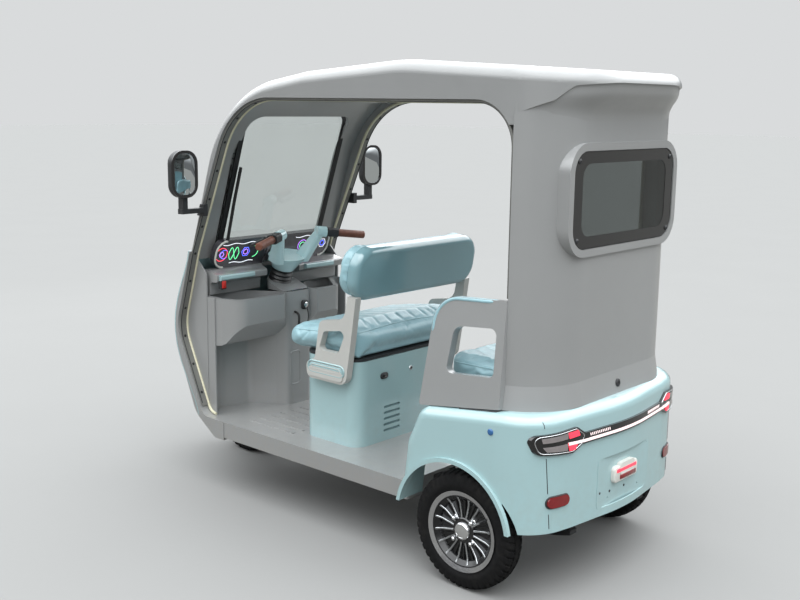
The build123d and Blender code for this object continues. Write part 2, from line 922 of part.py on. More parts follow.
# Stays of the mudguard on the fork legs
stay_x = 50
stay_y, stay_z = raked(axle_distance + 188)

# Mudguard round the top of the front wheel, cut short at the rear
guard_rear_angle = 36
with BuildPart() as front_mudguard:
    with BuildSketch(Plane.YZ.offset(-mudguard_half)):
        with Locations((spindle_y, spindle_z)):
            Circle(mudguard_radius)
            Circle(mudguard_radius - mudguard_wall, mode=Mode.SUBTRACT)
            Rectangle(3 * mudguard_radius, 2 * mudguard_radius, align=(Align.CENTER, Align.MAX), mode=Mode.SUBTRACT)
            Rectangle(3 * mudguard_radius, 2 * mudguard_radius, rotation=-guard_rear_angle,
                      align=(Align.MIN, Align.MAX), mode=Mode.SUBTRACT)
    extrude(amount=2 * mudguard_half)
    with BuildSketch(Plane.YZ.offset(stay_x)):
        with Locations((stay_y, stay_z)):
            Rectangle(44, 80, rotation=-rake)
    extrude(amount=leg_x - slider_radius - stay_x + 2)
    mirror(about=Plane.YZ)
    add(front_fork.part, mode=Mode.SUBTRACT)
save(front_mudguard, "front_mudguard")

# Wheels: name, x, y, side that the face looks to
wheel_table = (
    ("front", 0, spindle_y, 1),
    ("left", wheel_x, rear_axle_y, 1),
    ("right", -wheel_x, rear_axle_y, -1),
)
sidewall = tyre_width / 2
# Half section of a tyre: distance from its middle plane, radius, corner radius
tyre_section = [
    (-sidewall + 14, bead_radius, 0),
    (-sidewall, bead_radius + 32, 24),
    (-sidewall + 7, tyre_radius - 7, 10),
    (-sidewall + 28, tyre_radius, 30),
    (sidewall - 28, tyre_radius, 30),
    (sidewall - 7, tyre_radius - 7, 10),
    (sidewall, bead_radius + 32, 24),
    (sidewall - 14, bead_radius, 0),
    (sidewall - 22, bead_radius + 8, 0),
    (-sidewall + 22, bead_radius + 8, 0),
]
# Section of a rim for a wheel that looks to +X: distance from its middle plane, radius
rim_section = [
    (42, rim_lip_radius),
    (38.5, rim_lip_radius),
    (sidewall - 12, bead_radius - seat_gap),
    (22, bead_radius - seat_gap),
    (14, 108),
    (-14, 108),
    (-22, bead_radius - seat_gap),
    (-sidewall + 12, bead_radius - seat_gap),
    (-38.5, rim_lip_radius),
    (-42, rim_lip_radius),
    (-36, bead_radius - 6),
    (-20, 102),
    (8, 102),
    (8, 42),
    (-30, 36),
    (-30, axle_radius + running_fit),
    (24, axle_radius + running_fit),
    (24, 34),
    (16, 46),
    (16, 102),
    (24, 106),
    (36, bead_radius - 6),
]
tyre_edges = outline(tyre_section)
for name, x, y, side in wheel_table:
    with BuildPart() as tyre_form:
        with BuildSketch(Plane.XY):
            add(tyre_edges)
            make_face()
        revolve(axis=Axis.X)
    placed_tyre = Pos(x, y, tyre_radius) * tyre_form.part
    with BuildPart() as tyre:
        add(placed_tyre)
    save(tyre, f"tyre_{name}")

    section = [(side * a, b) for a, b in rim_section]
    with BuildPart() as rim_form:
        with BuildSketch(Plane.XY):
            with BuildLine():
                Polyline(*section, close=True)
            make_face()
        revolve(axis=Axis.X)
        with BuildSketch(Plane.YZ.offset(side * 15)):
            with PolarLocations(75, spoke_count):
                Rectangle(58, 5)
        extrude(amount=side * 6)
        if x:
            with BuildSketch(Plane.YZ.offset(side * 24)):
                Circle(30)
            extrude(amount=side * 8)
    placed_rim = Pos(x, y, tyre_radius) * rim_form.part
    with BuildPart() as rim:
        add(placed_rim)
    save(rim, f"rim_{name}")

# Rear axle: tube with a gearcase in the middle, a motor beside it and a drum at each end
drum_x = wheel_x - 30 - seat_gap
drum_width = 36
drum_radius = 72
# Pieces on the axle: x from, x to, y shift, z shift, radius
axle_table = (
    (-drum_x + drum_width, drum_x - drum_width, 0, 0, axle_tube_radius),
    (-drum_x, -drum_x + drum_width, 0, 0, drum_radius),
    (drum_x - drum_width, drum_x, 0, 0, drum_radius),
    (-wheel_x - 20, wheel_x + 20, 0, 0, axle_radius),
    (-60, 30, 0, 0, 82),
    (30, 180, -40, 6, 66),
)
with BuildPart() as rear_axle:
    for x0, x1, shift_y, shift_z, radius in axle_table:
        with BuildSketch(Plane.YZ.offset(x0)):
            with Locations((rear_axle_y + shift_y, tyre_radius + shift_z)):
                Circle(radius)
        extrude(amount=x1 - x0)
save(rear_axle, "rear_axle")

# Leaf springs under the axle, their raised ends under the rails
leaf_top = tyre_radius - axle_tube_radius - seat_gap
leaf_front_y = rear_axle_y - leaf_length / 2
leaf_rear_y = rear_axle_y + leaf_length / 2
with BuildPart() as rear_springs:
    with BuildSketch(Plane.YZ.offset(rail_x - rail_width / 2)):
        with BuildLine():
            ThreePointArc((leaf_front_y, leaf_top + leaf_rise), (rear_axle_y, leaf_top),
                          (leaf_rear_y, leaf_top + leaf_rise))
            Line((leaf_rear_y, leaf_top + leaf_rise), (leaf_rear_y, leaf_top + leaf_rise - leaf_depth))
            ThreePointArc((leaf_rear_y, leaf_top + leaf_rise - leaf_depth), (rear_axle_y, leaf_top - leaf_depth),
                          (leaf_front_y, leaf_top + leaf_rise - leaf_depth))
            Line((leaf_front_y, leaf_top + leaf_rise - leaf_depth), (leaf_front_y, leaf_top + leaf_rise))
        make_face()
    extrude(amount=rail_width)
    mirror(about=Plane.YZ)
save(rear_springs, "rear_springs")

# Chassis: two rails with spring hangers, cross members, the head tube and its struts
head_bottom = crown_distance + 6
head_radius = 30
stem_room = stem_radius + 0.5
rail_outer = rail_x + rail_width / 2
rail_inner = rail_x - rail_width / 2
cross_table = (rail_front_y, -200, 100, 420, 1000)
cross_depth = 36
hanger_half = 16
hanger_z = leaf_top + leaf_rise - leaf_depth / 2
strut_x = 46
strut_width = 28
strut_side = [
    (-735, 672, 0),
    (-682, 800, 0),
    (-600, 760, 0),
    (-560, 700, 0),
    (-560, rail_bottom_z + 4, 0),
    (-600, rail_bottom_z + 4, 0),
    (-600, 625, 0),
]
strut_form = prism(strut_side, strut_x - strut_width / 2, strut_x + strut_width / 2)
with BuildPart() as chassis_frame:
    add(block(rail_inner, rail_outer, rail_front_y, rail_joint_y, rail_bottom_z, rail_top_z))
    add(block(rail_inner, rail_outer, rail_joint_y - 1, rail_rear_y, rail_bottom_z + 4, rail_top_z))
    for y in (leaf_front_y + 24, leaf_rear_y - 24):
        add(block(rail_x - hanger_half, rail_x + hanger_half, y - 20, y + 20, hanger_z, rail_bottom_z + 4))
    add(strut_form)
    mirror(about=Plane.YZ)
    for y in cross_table:
        add(block(-rail_x, rail_x, y, y + cross_depth, rail_bottom_z + 4, rail_top_z))
    add(block(-60, 60, -600, rail_front_y, rail_bottom_z + 4, rail_top_z))
    add(block(-rail_x, rail_x, rail_front_y - cross_depth, rail_front_y, rail_bottom_z + 4, rail_top_z))
    add(block(-strut_x, strut_x, -712, -676, 690, 780))
    with BuildSketch(steer_plane(head_bottom)):
        Circle(head_radius)
    extrude(amount=-head_bottom - gaiter_height - 8)
    with BuildSketch(steer_plane(head_bottom - 60)):
        Circle(stem_room)
    extrude(amount=-head_bottom + 100, mode=Mode.SUBTRACT)
    add(column_cap.part, mode=Mode.SUBTRACT)
    add(rear_springs.part, mode=Mode.SUBTRACT)
save(chassis_frame, "chassis_frame")

# Front seat box with a row of vents in its rear face
box_plan_y = (box_front_y + box_rear_y) / 2
box_depth = box_rear_y - box_front_y
vent_table = (105, 390, 96, 9, 24, 5)
vent_x, vent_z, vent_width, vent_height, vent_pitch, vent_count = vent_table
with BuildPart() as seat_box:
    with BuildSketch(Plane.XY.offset(floor_z)):
        with Locations((0, box_plan_y)):
            RectangleRounded(2 * box_half, box_depth, 60)
    extrude(amount=box_top_z - floor_z)
    with BuildSketch(Plane.XY.offset(floor_z - 1)):
        with Locations((0, box_plan_y)):
            RectangleRounded(2 * box_half - 2 * box_wall, box_depth - 2 * box_wall, 54)
    extrude(amount=box_top_z - floor_z + 2, mode=Mode.SUBTRACT)
    with BuildSketch(Plane.XZ.offset(-box_rear_y - 5)):
        with Locations((vent_x, vent_z)):
            with GridLocations(0, vent_pitch, 1, vent_count):
                SlotOverall(vent_width, vent_height)
    extrude(amount=20, mode=Mode.SUBTRACT)
save(seat_box, "seat_box")

with BuildPart() as battery_pack:
    add(block(-180, 180, box_front_y + 40, box_rear_y - 40, floor_z, floor_z + 220))
save(battery_pack, "battery_pack")

lid_z = box_top_z + seat_gap
with BuildPart() as seat_lid:
    with BuildSketch(Plane.XY.offset(lid_z)):
        with Locations((0, box_plan_y - 2)):
            RectangleRounded(2 * box_half - 2, box_depth - 8, 56)
    extrude(amount=lid_thickness)
save(seat_lid, "seat_lid")

# Front cushion from the side: y, z, radius
pad_z = lid_z + lid_thickness + seat_gap
cushion_side = [
    (box_rear_y - 6, pad_z, 8),
    (box_rear_y - 14, cushion_top_z, 58),
    (-120, cushion_top_z - 30, 200),
    (-292, cushion_top_z - 62, 50),
    (-288, pad_z + 5, 30),
    (box_front_y - 20, pad_z, 10),
    (box_front_y, pad_z, 0),
]
cushion_form = prism(cushion_side, -box_half, box_half)
with BuildPart() as seat_cushion:
    add(cushion_form)
    fillet(seat_cushion.faces().filter_by(Axis.X).edges().group_by(Axis.Z)[-1], 24)
save(seat_cushion, "seat_cushion")

# Backrest of the front seat, leaning to the rear at its top
back_angle = math.radians(back_lean)
back_origin = (0, 155, 985)
back_plane = Plane(origin=back_origin, x_dir=(1, 0, 0), z_dir=(0, -math.cos(back_angle), math.sin(back_angle)))
back_shell_depth = 44
back_cushion_depth = 56
with BuildPart() as backrest_shell:
    with BuildSketch(back_plane):
        RectangleRounded(2 * back_half, 205, 84)
    extrude(amount=back_shell_depth)
    fillet(backrest_shell.faces().sort_by(Axis.Y)[-1].edges(), 26)
save(backrest_shell, "backrest_shell")
with BuildPart() as backrest_cushion:
    with BuildSketch(back_plane.offset(back_shell_depth + seat_gap)):
        RectangleRounded(2 * back_half + 8, 216, 88)
    extrude(amount=back_cushion_depth)
    fillet(backrest_cushion.faces().sort_by(Axis.Y)[0].edges(), 24)
save(backrest_cushion, "backrest_cushion")

# Side frames of the front seat, which carry the backrest: y, z, radius
seat_frame_outline = [
    (-128, 556, 28),
    (84, 556, 40),
    (112, 740, 200),
    (136, 905, 4),
    (92, 905, 4),
    (76, 812, 50),
    (-58, 792, 30),
    (-84, 640, 20),
    (-132, 616, 24),
]
seat_frame_hole = [
    (-62, 676, 14),
    (44, 676, 24),
    (86, 772, 20),
    (-36, 752, 16),
]
seat_cap_outline = [
    (-118, 566, 18),
    (70, 566, 18),
    (70, 606, 18),
    (-118, 606, 18),
]
cap_thickness = 4
frame_form = prism(seat_frame_outline, frame_inner_x, frame_inner_x + frame_width)
frame_hole = prism(seat_frame_hole, frame_inner_x - 1, frame_inner_x + frame_width + 1)
frame_cap = prism(seat_cap_outline, frame_inner_x + frame_width - 1, frame_inner_x + frame_width + cap_thickness)
with BuildPart() as seat_frames:
    add(frame_form)
    add(frame_cap)
    add(frame_hole, mode=Mode.SUBTRACT)
    add(backrest_shell.part, mode=Mode.SUBTRACT)
    add(backrest_cushion.part, mode=Mode.SUBTRACT)
    add(block(box_half, frame_inner_x, -90, 40, 566, 606))
    mirror(about=Plane.YZ)
save(seat_frames, "seat_frames")

# Rear bench: base, cushion and backrest
bench_rear_y = inner_rear_y - seat_gap
bench_pad = 92
bench_back = 60
cushion_half = 390
# Left half of the base and of the cushion in plan, from the front to the rear: x, y, radius
base_plan = [
    (bench_half, bench_front_y, 40),
    (bench_half, 930, 120),
    (230, bench_rear_y, 60),
]
cushion_plan = [
    (cushion_half, 605, 50),
    (cushion_half, 880, 120),
    (280, 985, 60),
]


def both_sides(points):
    """Closed table of a plan from the table of its left half."""
    return points + [(-x, y, r) for x, y, r in reversed(points)]


base_form = prism(both_sides(base_plan), floor_z, bench_top_z, plane=Plane.XY)
base_hollow = prism(both_sides(base_plan), floor_z - 1, bench_top_z - wall, plane=Plane.XY, inset=wall)
with BuildPart() as bench_base:
    add(base_form)
    add(base_hollow, mode=Mode.SUBTRACT)
save(bench_base, "bench_base")

cushion_low = bench_top_z + seat_gap
cushion_form = prism(both_sides(cushion_plan), cushion_low, cushion_low + bench_pad, plane=Plane.XY)
with BuildPart() as bench_cushion:
    add(cushion_form)
    fillet(bench_cushion.faces().sort_by(Axis.Z)[-1].edges(), 30)
save(bench_cushion, "bench_cushion")

back_room = prism(inner_shell_plan, bench_top_z, window_z, plane=Plane.XY, inset=seat_gap)
with BuildPart() as bench_backrest:
    with BuildSketch(Plane.XZ.offset(-bench_rear_y)):
        with Locations((0, 960)):
            RectangleRounded(620, 330, 60)
    extrude(amount=bench_back)
    add(back_room, mode=Mode.INTERSECT)
    fillet(bench_backrest.faces().sort_by(Axis.Y)[0].edges(), 24)
save(bench_backrest, "bench_backrest")

# Rear side panels, leaning outward to their feet: y, height on the panel, radius
panel_top_x = half_width
panel_foot_x = 470
panel_height = 400
panel_lean = math.atan((panel_foot_x - panel_top_x) / panel_height)
panel_thickness = 32
panel_base_z = shell_bottom_z + 358
panel_plane = Plane(origin=(panel_top_x, 0, panel_base_z), x_dir=(0, 1, 0),
                    z_dir=(math.cos(panel_lean), 0, math.sin(panel_lean)))
side_panel_outline = [
    (560, -403, 10),
    (b_pillar_y - seat_gap, -356, 0),
    (b_pillar_y - seat_gap, -2, 0),
    (606, -18, 110),
]
side_panel_hole = [
    (666, -273, 20),
    (863, -256, 20),
    (863, -96, 24),
    (690, -110, 40),
]
panel_form = prism(side_panel_outline, -panel_thickness, 0, plane=panel_plane)
panel_hole = prism(side_panel_hole, -panel_thickness - 1, 1, plane=panel_plane)
pad_form = prism(side_panel_outline, -panel_thickness - 3, 3, plane=panel_plane, inset=-15)
trim_form = prism(side_panel_outline, -panel_thickness, 0, plane=panel_plane, inset=-9)
wide_panel_form = prism(side_panel_outline, -panel_thickness - 5, 5, plane=panel_plane)
with BuildPart() as side_panels:
    add(panel_form)
    add(panel_hole, mode=Mode.SUBTRACT)
    add(body_block, mode=Mode.SUBTRACT)
    mirror(about=Plane.YZ)
save(side_panels, "side_panels")

# Arm pads round the top of the side panels, with a narrow edge down the front
with BuildPart() as arm_pads:
    add(pad_form)
    add(block(0, reach, 0, 850, panel_base_z - 150, reach), mode=Mode.INTERSECT)
    add(trim_form)
    add(wide_panel_form, mode=Mode.SUBTRACT)
    add(body_block, mode=Mode.SUBTRACT)
    add(block(0, reach, 0, 850, 0, reach), mode=Mode.INTERSECT)
    mirror(about=Plane.YZ)
save(arm_pads, "arm_pads")

# Tail lamps: two clusters joined by a light bar across the bumper
lamp_z = 558
lamp_proud = 9
bar_low = 20
bar_high = 16
lamp_front = [
    (296, lamp_z + 43, 12),
    (466, lamp_z + 31, 22),
    (444, lamp_z - 32, 22),
    (312, lamp_z - 41, 18),
    (262, lamp_z - 18, 8),
    (250, lamp_z + 14, 8),
]
lamp_band = band_form(lamp_proud, lamp_z - 60, lamp_z + 60)
body_band = band_form(0, 200, 640)
lamp_cut = prism(lamp_front, -reach, -900, plane=Plane.XZ)
with BuildPart() as tail_lamps:
    add(lamp_cut)
    mirror(about=Plane.YZ)
    add(block(-280, 280, 900, reach, lamp_z - bar_low, lamp_z + bar_high))
    add(lamp_band, mode=Mode.INTERSECT)
    add(body_band, mode=Mode.SUBTRACT)
save(tail_lamps, "tail_lamps")

reflector_band = band_form(7, 330, 392)
with BuildPart() as reflectors:
    with BuildSketch(Plane.XZ.offset(-960)):
        with Locations((360, 361)):
            RectangleRounded(88, 36, 17)
    extrude(amount=-240)
    add(reflector_band, mode=Mode.INTERSECT)
    add(body_band, mode=Mode.SUBTRACT)
    mirror(about=Plane.YZ)
save(reflectors, "reflectors")

with BuildPart() as plate_lamp:
    with BuildSketch(Plane.XZ.offset(-plate_y - 16)):
        with Locations((0, 400)):
            RectangleRounded(96, 44, 14)
    extrude(amount=16)
save(plate_lamp, "plate_lamp")

# Mirrors on their arms
mirror_x = 545
mirror_y = -618
mirror_z = 1332
arm_low = 1172
arm_root_x = lining_half + seat_gap
with BuildPart() as mirror_root:
    add(block(arm_root_x, half_width + 12, mirror_y - 80, mirror_y - 7, arm_low - 14, arm_low + 34))
    add(door_seat, mode=Mode.INTERSECT)
with BuildPart() as mirrors:
    with BuildSketch(Plane.XZ.offset(-mirror_y)):
        with Locations((mirror_x, mirror_z)):
            RectangleRounded(126, 188, 52)
    extrude(amount=40)
    fillet(mirrors.faces().sort_by(Axis.Y)[0].edges(), 22)
    add(block(half_width + seat_gap, mirror_x + 10, mirror_y - 37, mirror_y - 7, arm_low, arm_low + 20))
    add(block(mirror_x - 17, mirror_x + 7, mirror_y - 37, mirror_y - 7, arm_low, mirror_z - 87))
    add(mirror_root.part)
    mirror(about=Plane.YZ)
save(mirrors, "mirrors")

# Headlamps, proud of the fairing
headlamp_outline = [
    (230, 640, 30),
    (372, 664, 30),
    (362, 790, 40),
    (250, 760, 40),
]
headlamp_cut = prism(headlamp_outline, 600, reach, plane=Plane.XZ)
headlamp_skin = fairing_volume(-7)
with BuildPart() as headlamps:
    add(headlamp_skin)
    add(headlamp_cut, mode=Mode.INTERSECT)
    add(fairing_outer, mode=Mode.SUBTRACT)
    add(block(-reach, reach, knee_y, reach, 0, reach), mode=Mode.SUBTRACT)
    mirror(about=Plane.YZ)
save(headlamps, "headlamps")
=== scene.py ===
"""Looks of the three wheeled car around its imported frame. Metres, in the frame of the CAD model."""
import json
import math

import bmesh
import bpy
import numpy as np
from mathutils import Matrix, Vector
from mathutils.bvhtree import BVHTree

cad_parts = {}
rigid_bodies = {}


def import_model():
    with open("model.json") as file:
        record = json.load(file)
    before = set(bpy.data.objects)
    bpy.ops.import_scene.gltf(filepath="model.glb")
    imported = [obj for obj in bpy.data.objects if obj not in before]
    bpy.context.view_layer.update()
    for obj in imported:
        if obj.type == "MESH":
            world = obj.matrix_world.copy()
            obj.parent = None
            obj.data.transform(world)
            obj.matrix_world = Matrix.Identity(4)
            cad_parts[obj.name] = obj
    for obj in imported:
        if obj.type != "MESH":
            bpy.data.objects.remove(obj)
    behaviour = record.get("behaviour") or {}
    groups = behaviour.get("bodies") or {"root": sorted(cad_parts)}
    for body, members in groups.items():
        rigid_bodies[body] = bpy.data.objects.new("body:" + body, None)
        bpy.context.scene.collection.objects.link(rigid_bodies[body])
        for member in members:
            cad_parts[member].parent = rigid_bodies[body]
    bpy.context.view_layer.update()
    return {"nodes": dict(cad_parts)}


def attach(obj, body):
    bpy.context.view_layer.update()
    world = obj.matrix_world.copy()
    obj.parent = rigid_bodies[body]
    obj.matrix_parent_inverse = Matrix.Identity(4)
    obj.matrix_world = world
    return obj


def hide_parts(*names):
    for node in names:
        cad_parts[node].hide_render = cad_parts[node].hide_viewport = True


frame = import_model()
nodes = frame["nodes"]
scene = bpy.context.scene
scene.view_settings.view_transform = "Standard"
MM = 0.001
sides = ((1, "left"), (-1, "right"))


# Camera
def aim(azimuth, pitch, roll):
    """Axes of a camera that looks along an azimuth, pitched down and rolled, all in degrees."""
    a, e, t = (math.radians(v) for v in (azimuth, pitch, roll))
    ahead = Vector((-math.sin(a) * math.cos(e), math.cos(a) * math.cos(e), -math.sin(e)))
    right = Vector((math.cos(a), math.sin(a), 0))
    up = right.cross(ahead)
    turned = right * math.cos(t) + up * math.sin(t)
    return turned, turned.cross(ahead), ahead


FOCAL_PIXELS = 1059
SENSOR = 36
IMAGE_WIDTH = 800
cam_data = bpy.data.cameras.new("camera")
cam_data.sensor_width = SENSOR
cam_data.lens = FOCAL_PIXELS * SENSOR / IMAGE_WIDTH
camera = bpy.data.objects.new("camera", cam_data)
scene.collection.objects.link(camera)
right, up, ahead = aim(131.534, 10.468, 0.771)
camera.matrix_world = Matrix.Translation((3.140, 2.8334, 1.6172)) @ Matrix((right, up, -ahead)).transposed().to_4x4()
scene.camera = camera


# Materials
def linear(r, g, b):
    """Linear colour of three sRGB bytes."""
    return tuple((c / 255 / 12.92) if c < 11 else ((c / 255 + 0.055) / 1.055) ** 2.4 for c in (r, g, b)) + (1.0,)


def shaded(colour, factor):
    """A colour made lighter or darker."""
    return tuple(min(1.0, c * factor) for c in colour[:3]) + (1.0,)


def put(made, **values):
    """A shader node with its inputs set by name."""
    for key, value in values.items():
        made.inputs[key.replace("_", " ")].default_value = value
    return made


class Look:
    """A material's node tree with short calls for what the looks share."""

    def __init__(self, name):
        self.mat = bpy.data.materials.new(name)
        self.mat.use_nodes = True
        self.tree = self.mat.node_tree
        self.bsdf = self.tree.nodes["Principled BSDF"]
        self.coords = self.tree.nodes.new("ShaderNodeTexCoord")

    def node(self, kind, **values):
        made = self.tree.nodes.new(kind)
        for key, value in values.items():
            setattr(made, key, value)
        return made

    def link(self, a, b):
        self.tree.links.new(a, b)

    def feed(self, value, socket):
        """A number, a colour or another socket into a socket."""
        if isinstance(value, bpy.types.NodeSocket):
            self.link(value, socket)
        elif value is not None:
            socket.default_value = value

    def set(self, **values):
        put(self.bsdf, **values)

    def noise(self, scale, detail=3.0, rough=0.55):
        tex = put(self.node("ShaderNodeTexNoise"), Scale=scale, Detail=detail, Roughness=rough)
        self.link(self.coords.outputs["Object"], tex.inputs["Vector"])
        return tex.outputs["Fac"]

    def ramp(self, fac, stops):
        made = self.node("ShaderNodeValToRGB")
        items = made.color_ramp.elements
        while len(items) < len(stops):
            items.new(0.5)
        for item, (place, colour) in zip(items, stops):
            item.position = place
            item.color = colour
        self.link(fac, made.inputs["Fac"])
        return made.outputs["Color"]

    def span(self, value, low, high, to_low=0.0, to_high=1.0):
        made = put(self.node("ShaderNodeMapRange"), From_Min=low, From_Max=high, To_Min=to_low, To_Max=to_high)
        self.link(value, made.inputs["Value"])
        return made.outputs["Result"]

    def math(self, kind, a, b=None):
        made = self.node("ShaderNodeMath", operation=kind)
        self.feed(a, made.inputs[0])
        self.feed(b, made.inputs[1])
        return made.outputs[0]

    def mix(self, fac, a, b):
        made = self.node("ShaderNodeMix", data_type="RGBA")
        for slot, value in ((0, fac), (6, a), (7, b)):
            self.feed(value, made.inputs[slot])
        return made.outputs[2]

    def axes(self):
        made = self.node("ShaderNodeSeparateXYZ")
        self.link(self.coords.outputs["Object"], made.inputs[0])
        return made.outputs

    def bump(self, height, strength, distance):
        made = put(self.node("ShaderNodeBump"), Strength=strength, Distance=distance)
        self.link(height, made.inputs["Height"])
        if self.bsdf.inputs["Normal"].is_linked:
            self.link(self.bsdf.inputs["Normal"].links[0].from_socket, made.inputs["Normal"])
        self.link(made.outputs["Normal"], self.bsdf.inputs["Normal"])

    def colour(self, socket):
        self.link(socket, self.bsdf.inputs["Base Color"])

    def rough(self, socket):
        self.link(socket, self.bsdf.inputs["Roughness"])

    def uneven(self, scale, low, high):
        """Roughness that wanders between two values."""
        self.rough(self.span(self.noise(scale), 0.3, 0.7, low, high))

    def pebbles(self, scale, strength, distance):
        cell = put(self.node("ShaderNodeTexVoronoi"), Scale=scale)
        self.link(self.coords.outputs["Object"], cell.inputs["Vector"])
        self.bump(cell.outputs["Distance"], strength, distance)


def mottled(name, rgb, scale, low, high):
    """A look whose base colour wanders between two shades of one colour."""
    look = Look(name)
    base = linear(*rgb)
    look.colour(look.ramp(look.noise(scale), [(0.3, shaded(base, low)), (0.7, shaded(base, high))]))
    return look


def plain(name, rgb, rough, vary=0.05, patch=4.0, metal=0.0, grain=(0, 0.3, 0.0004), low_dust=0.0, **values):
    """Material with a mottled colour, an uneven roughness and a fine grain."""
    look = Look(name)
    base = linear(*rgb)
    cloud = look.noise(patch, 4.0)
    colour = look.ramp(cloud, [(0.3, shaded(base, 1 - vary)), (0.7, shaded(base, 1 + vary))])
    if low_dust:
        height = look.axes()[2]
        near = look.span(height, 0.15, 0.55, low_dust, 0.0)
        speck = look.span(look.noise(38.0, 5.0), 0.35, 0.75)
        colour = look.mix(look.math("MULTIPLY", near, speck), colour, linear(150, 142, 128))
    look.colour(colour)
    look.rough(look.span(look.noise(patch * 6, 4.0), 0.3, 0.7, rough * 0.85, min(1.0, rough * 1.15)))
    look.set(Metallic=metal, **values)
    if grain[0]:
        look.bump(look.noise(grain[0], 2.0), grain[1], grain[2])
    return look.mat


grey = plain("satin_grey", (141, 142, 142), 0.34, 0.03, 3.0, grain=(700, 0.25, 0.0003), low_dust=0.3, Coat_Weight=0.8,
             Coat_Roughness=0.16)
light_grey = plain("pale_grey", (186, 186, 182), 0.35, 0.03, 5.0, grain=(700, 0.2, 0.0002), Coat_Weight=0.3)
# Darker copy of the blue paint for the louvre slats: painted shade of the vents
louvre_blue_painted_shade = plain("louvre_blue_painted_shade", (112, 142, 146), 0.3, 0.05, 20.0, grain=(1600, 0.05, 0.0001))
dark = plain("dark_plastic", (34, 35, 37), 0.5, 0.12, 12.0, grain=(1100, 0.4, 0.0003))
# Darker grey for the door surrounds: painted shade of the jamb faces inside the door openings
shaded_jamb_grey = plain("jamb_grey_painted_shade", (112, 112, 108), 0.5, 0.08, 12.0, grain=(900, 0.3, 0.0003))
black_gloss = plain("black_gloss", (16, 16, 18), 0.12, 0.1, 14.0, Coat_Weight=0.5)
rubber = plain("rubber", (24, 24, 25), 0.6, 0.15, 20.0, grain=(1400, 0.4, 0.0003))
blue = plain("blue_paint", (157, 187, 190), 0.2, 0.02, 2.5, grain=(1600, 0.05, 0.0001), low_dust=0.22, Coat_Weight=0.7,
             Coat_Roughness=0.05)
# Lighter copy of the blue paint for the yoke: painted light that stands in for the brighter light falling on the yoke
yoke_blue_painted_light = plain("yoke_blue_painted_light", (196, 228, 232), 0.2, 0.02, 4.0, grain=(1600, 0.05, 0.0001), Coat_Weight=0.7,
                  Coat_Roughness=0.05)
chrome = plain("chrome", (222, 223, 224), 0.08, 0.03, 20.0, metal=1.0)
steel = plain("steel", (176, 178, 180), 0.28, 0.06, 40.0, metal=1.0, grain=(900, 0.2, 0.0002))
dark_steel = plain("painted_steel", (38, 39, 41), 0.45, 0.15, 14.0, metal=0.3, grain=(500, 0.3, 0.0003))
cream = plain("cream_seal", (206, 202, 176), 0.5, 0.06, 30.0, grain=(900, 0.3, 0.0003))
red_lens = plain("red_lens", (120, 14, 18), 0.12, 0.12, 60.0, Coat_Weight=0.6, IOR=1.49)
red_button = plain("red_button", (196, 38, 30), 0.3, 0.08, 80.0, Coat_Weight=0.3)
white = plain("white_plastic", (214, 214, 208), 0.35, 0.03, 30.0, grain=(900, 0.15, 0.0002))


def glass(name, rgb, rough=0.02):
    look = mottled(name, rgb, 6.0, 0.97, 1)
    look.set(Transmission_Weight=1.0, IOR=1.45)
    look.uneven(40.0, rough, rough + 0.02)
    return look.mat


clear_glass = glass("clear_glass", (214, 220, 218))
smoke_glass = glass("smoke_glass", (96, 102, 101))
lamp_clear = glass("lamp_clear", (235, 236, 236), 0.06)


def leather():
    look = Look("blue_leather")
    base = linear(150, 188, 197)
    cloud = look.noise(9.0, 5.0)
    look.colour(look.ramp(cloud, [(0.3, shaded(base, 0.9)), (0.55, base), (0.75, shaded(base, 1.07))]))
    look.uneven(60.0, 0.3, 0.44)
    look.set(Sheen_Weight=0.1, Coat_Weight=0.25, Coat_Roughness=0.25)
    look.pebbles(620, 0.35, 0.0004)
    look.bump(look.noise(34.0, 4.0), 0.25, 0.0015)
    return look.mat


def grip_rubber():
    look = mottled("brown_grip", (112, 66, 50), 90.0, 0.85, 1.12)
    look.uneven(50.0, 0.42, 0.58)
    look.pebbles(420, 0.5, 0.0006)
    return look.mat


def tyre_rubber():
    look = Look("tyre_rubber")
    base = linear(9, 9, 10)
    dust = linear(60, 57, 53)
    speck = look.span(look.noise(26.0, 6.0, 0.65), 0.5, 0.85, 0.0, 0.25)
    look.colour(look.mix(speck, base, dust))
    look.uneven(30.0, 0.7, 0.88)
    look.set(Specular_IOR_Level=0.2)
    look.bump(look.noise(500.0, 3.0), 0.35, 0.0005)
    return look.mat


def rim_paint(name, x, y, z, side):
    """Black wheel paint with a machined lip, by the distance from the wheel's axle."""
    look = Look(name)
    across, along, height = look.axes()
    dy = look.math("SUBTRACT", along, y)
    dz = look.math("SUBTRACT", height, z)
    radius = look.math("SQRT", look.math("ADD", look.math("MULTIPLY", dy, dy), look.math("MULTIPLY", dz, dz)))
    lip = look.span(radius, 0.1245, 0.1255)
    outward = look.span(look.math("MULTIPLY", look.math("SUBTRACT", across, x), side), 0.030, 0.032)
    bare = look.math("MULTIPLY", lip, outward)
    black = look.ramp(look.noise(30.0), [(0.3, linear(12, 12, 13)), (0.7, linear(22, 22, 24))])
    look.colour(look.mix(bare, black, linear(196, 196, 198)))
    look.link(bare, look.bsdf.inputs["Metallic"])
    look.uneven(60.0, 0.16, 0.26)
    return look.mat


def glow(name, rgb, strength):
    look = mottled(name, rgb, 60.0, 0.9, 1)
    look.set(Roughness=0.3, Emission_Color=linear(*rgb), Emission_Strength=strength)
    return look.mat


def gaiter_rubber():
    look = mottled("gaiter_rubber", (22, 22, 23), 40.0, 0.8, 1.4)
    look.uneven(50.0, 0.38, 0.55)
    look.bump(look.noise(800.0), 0.3, 0.0003)
    return look.mat


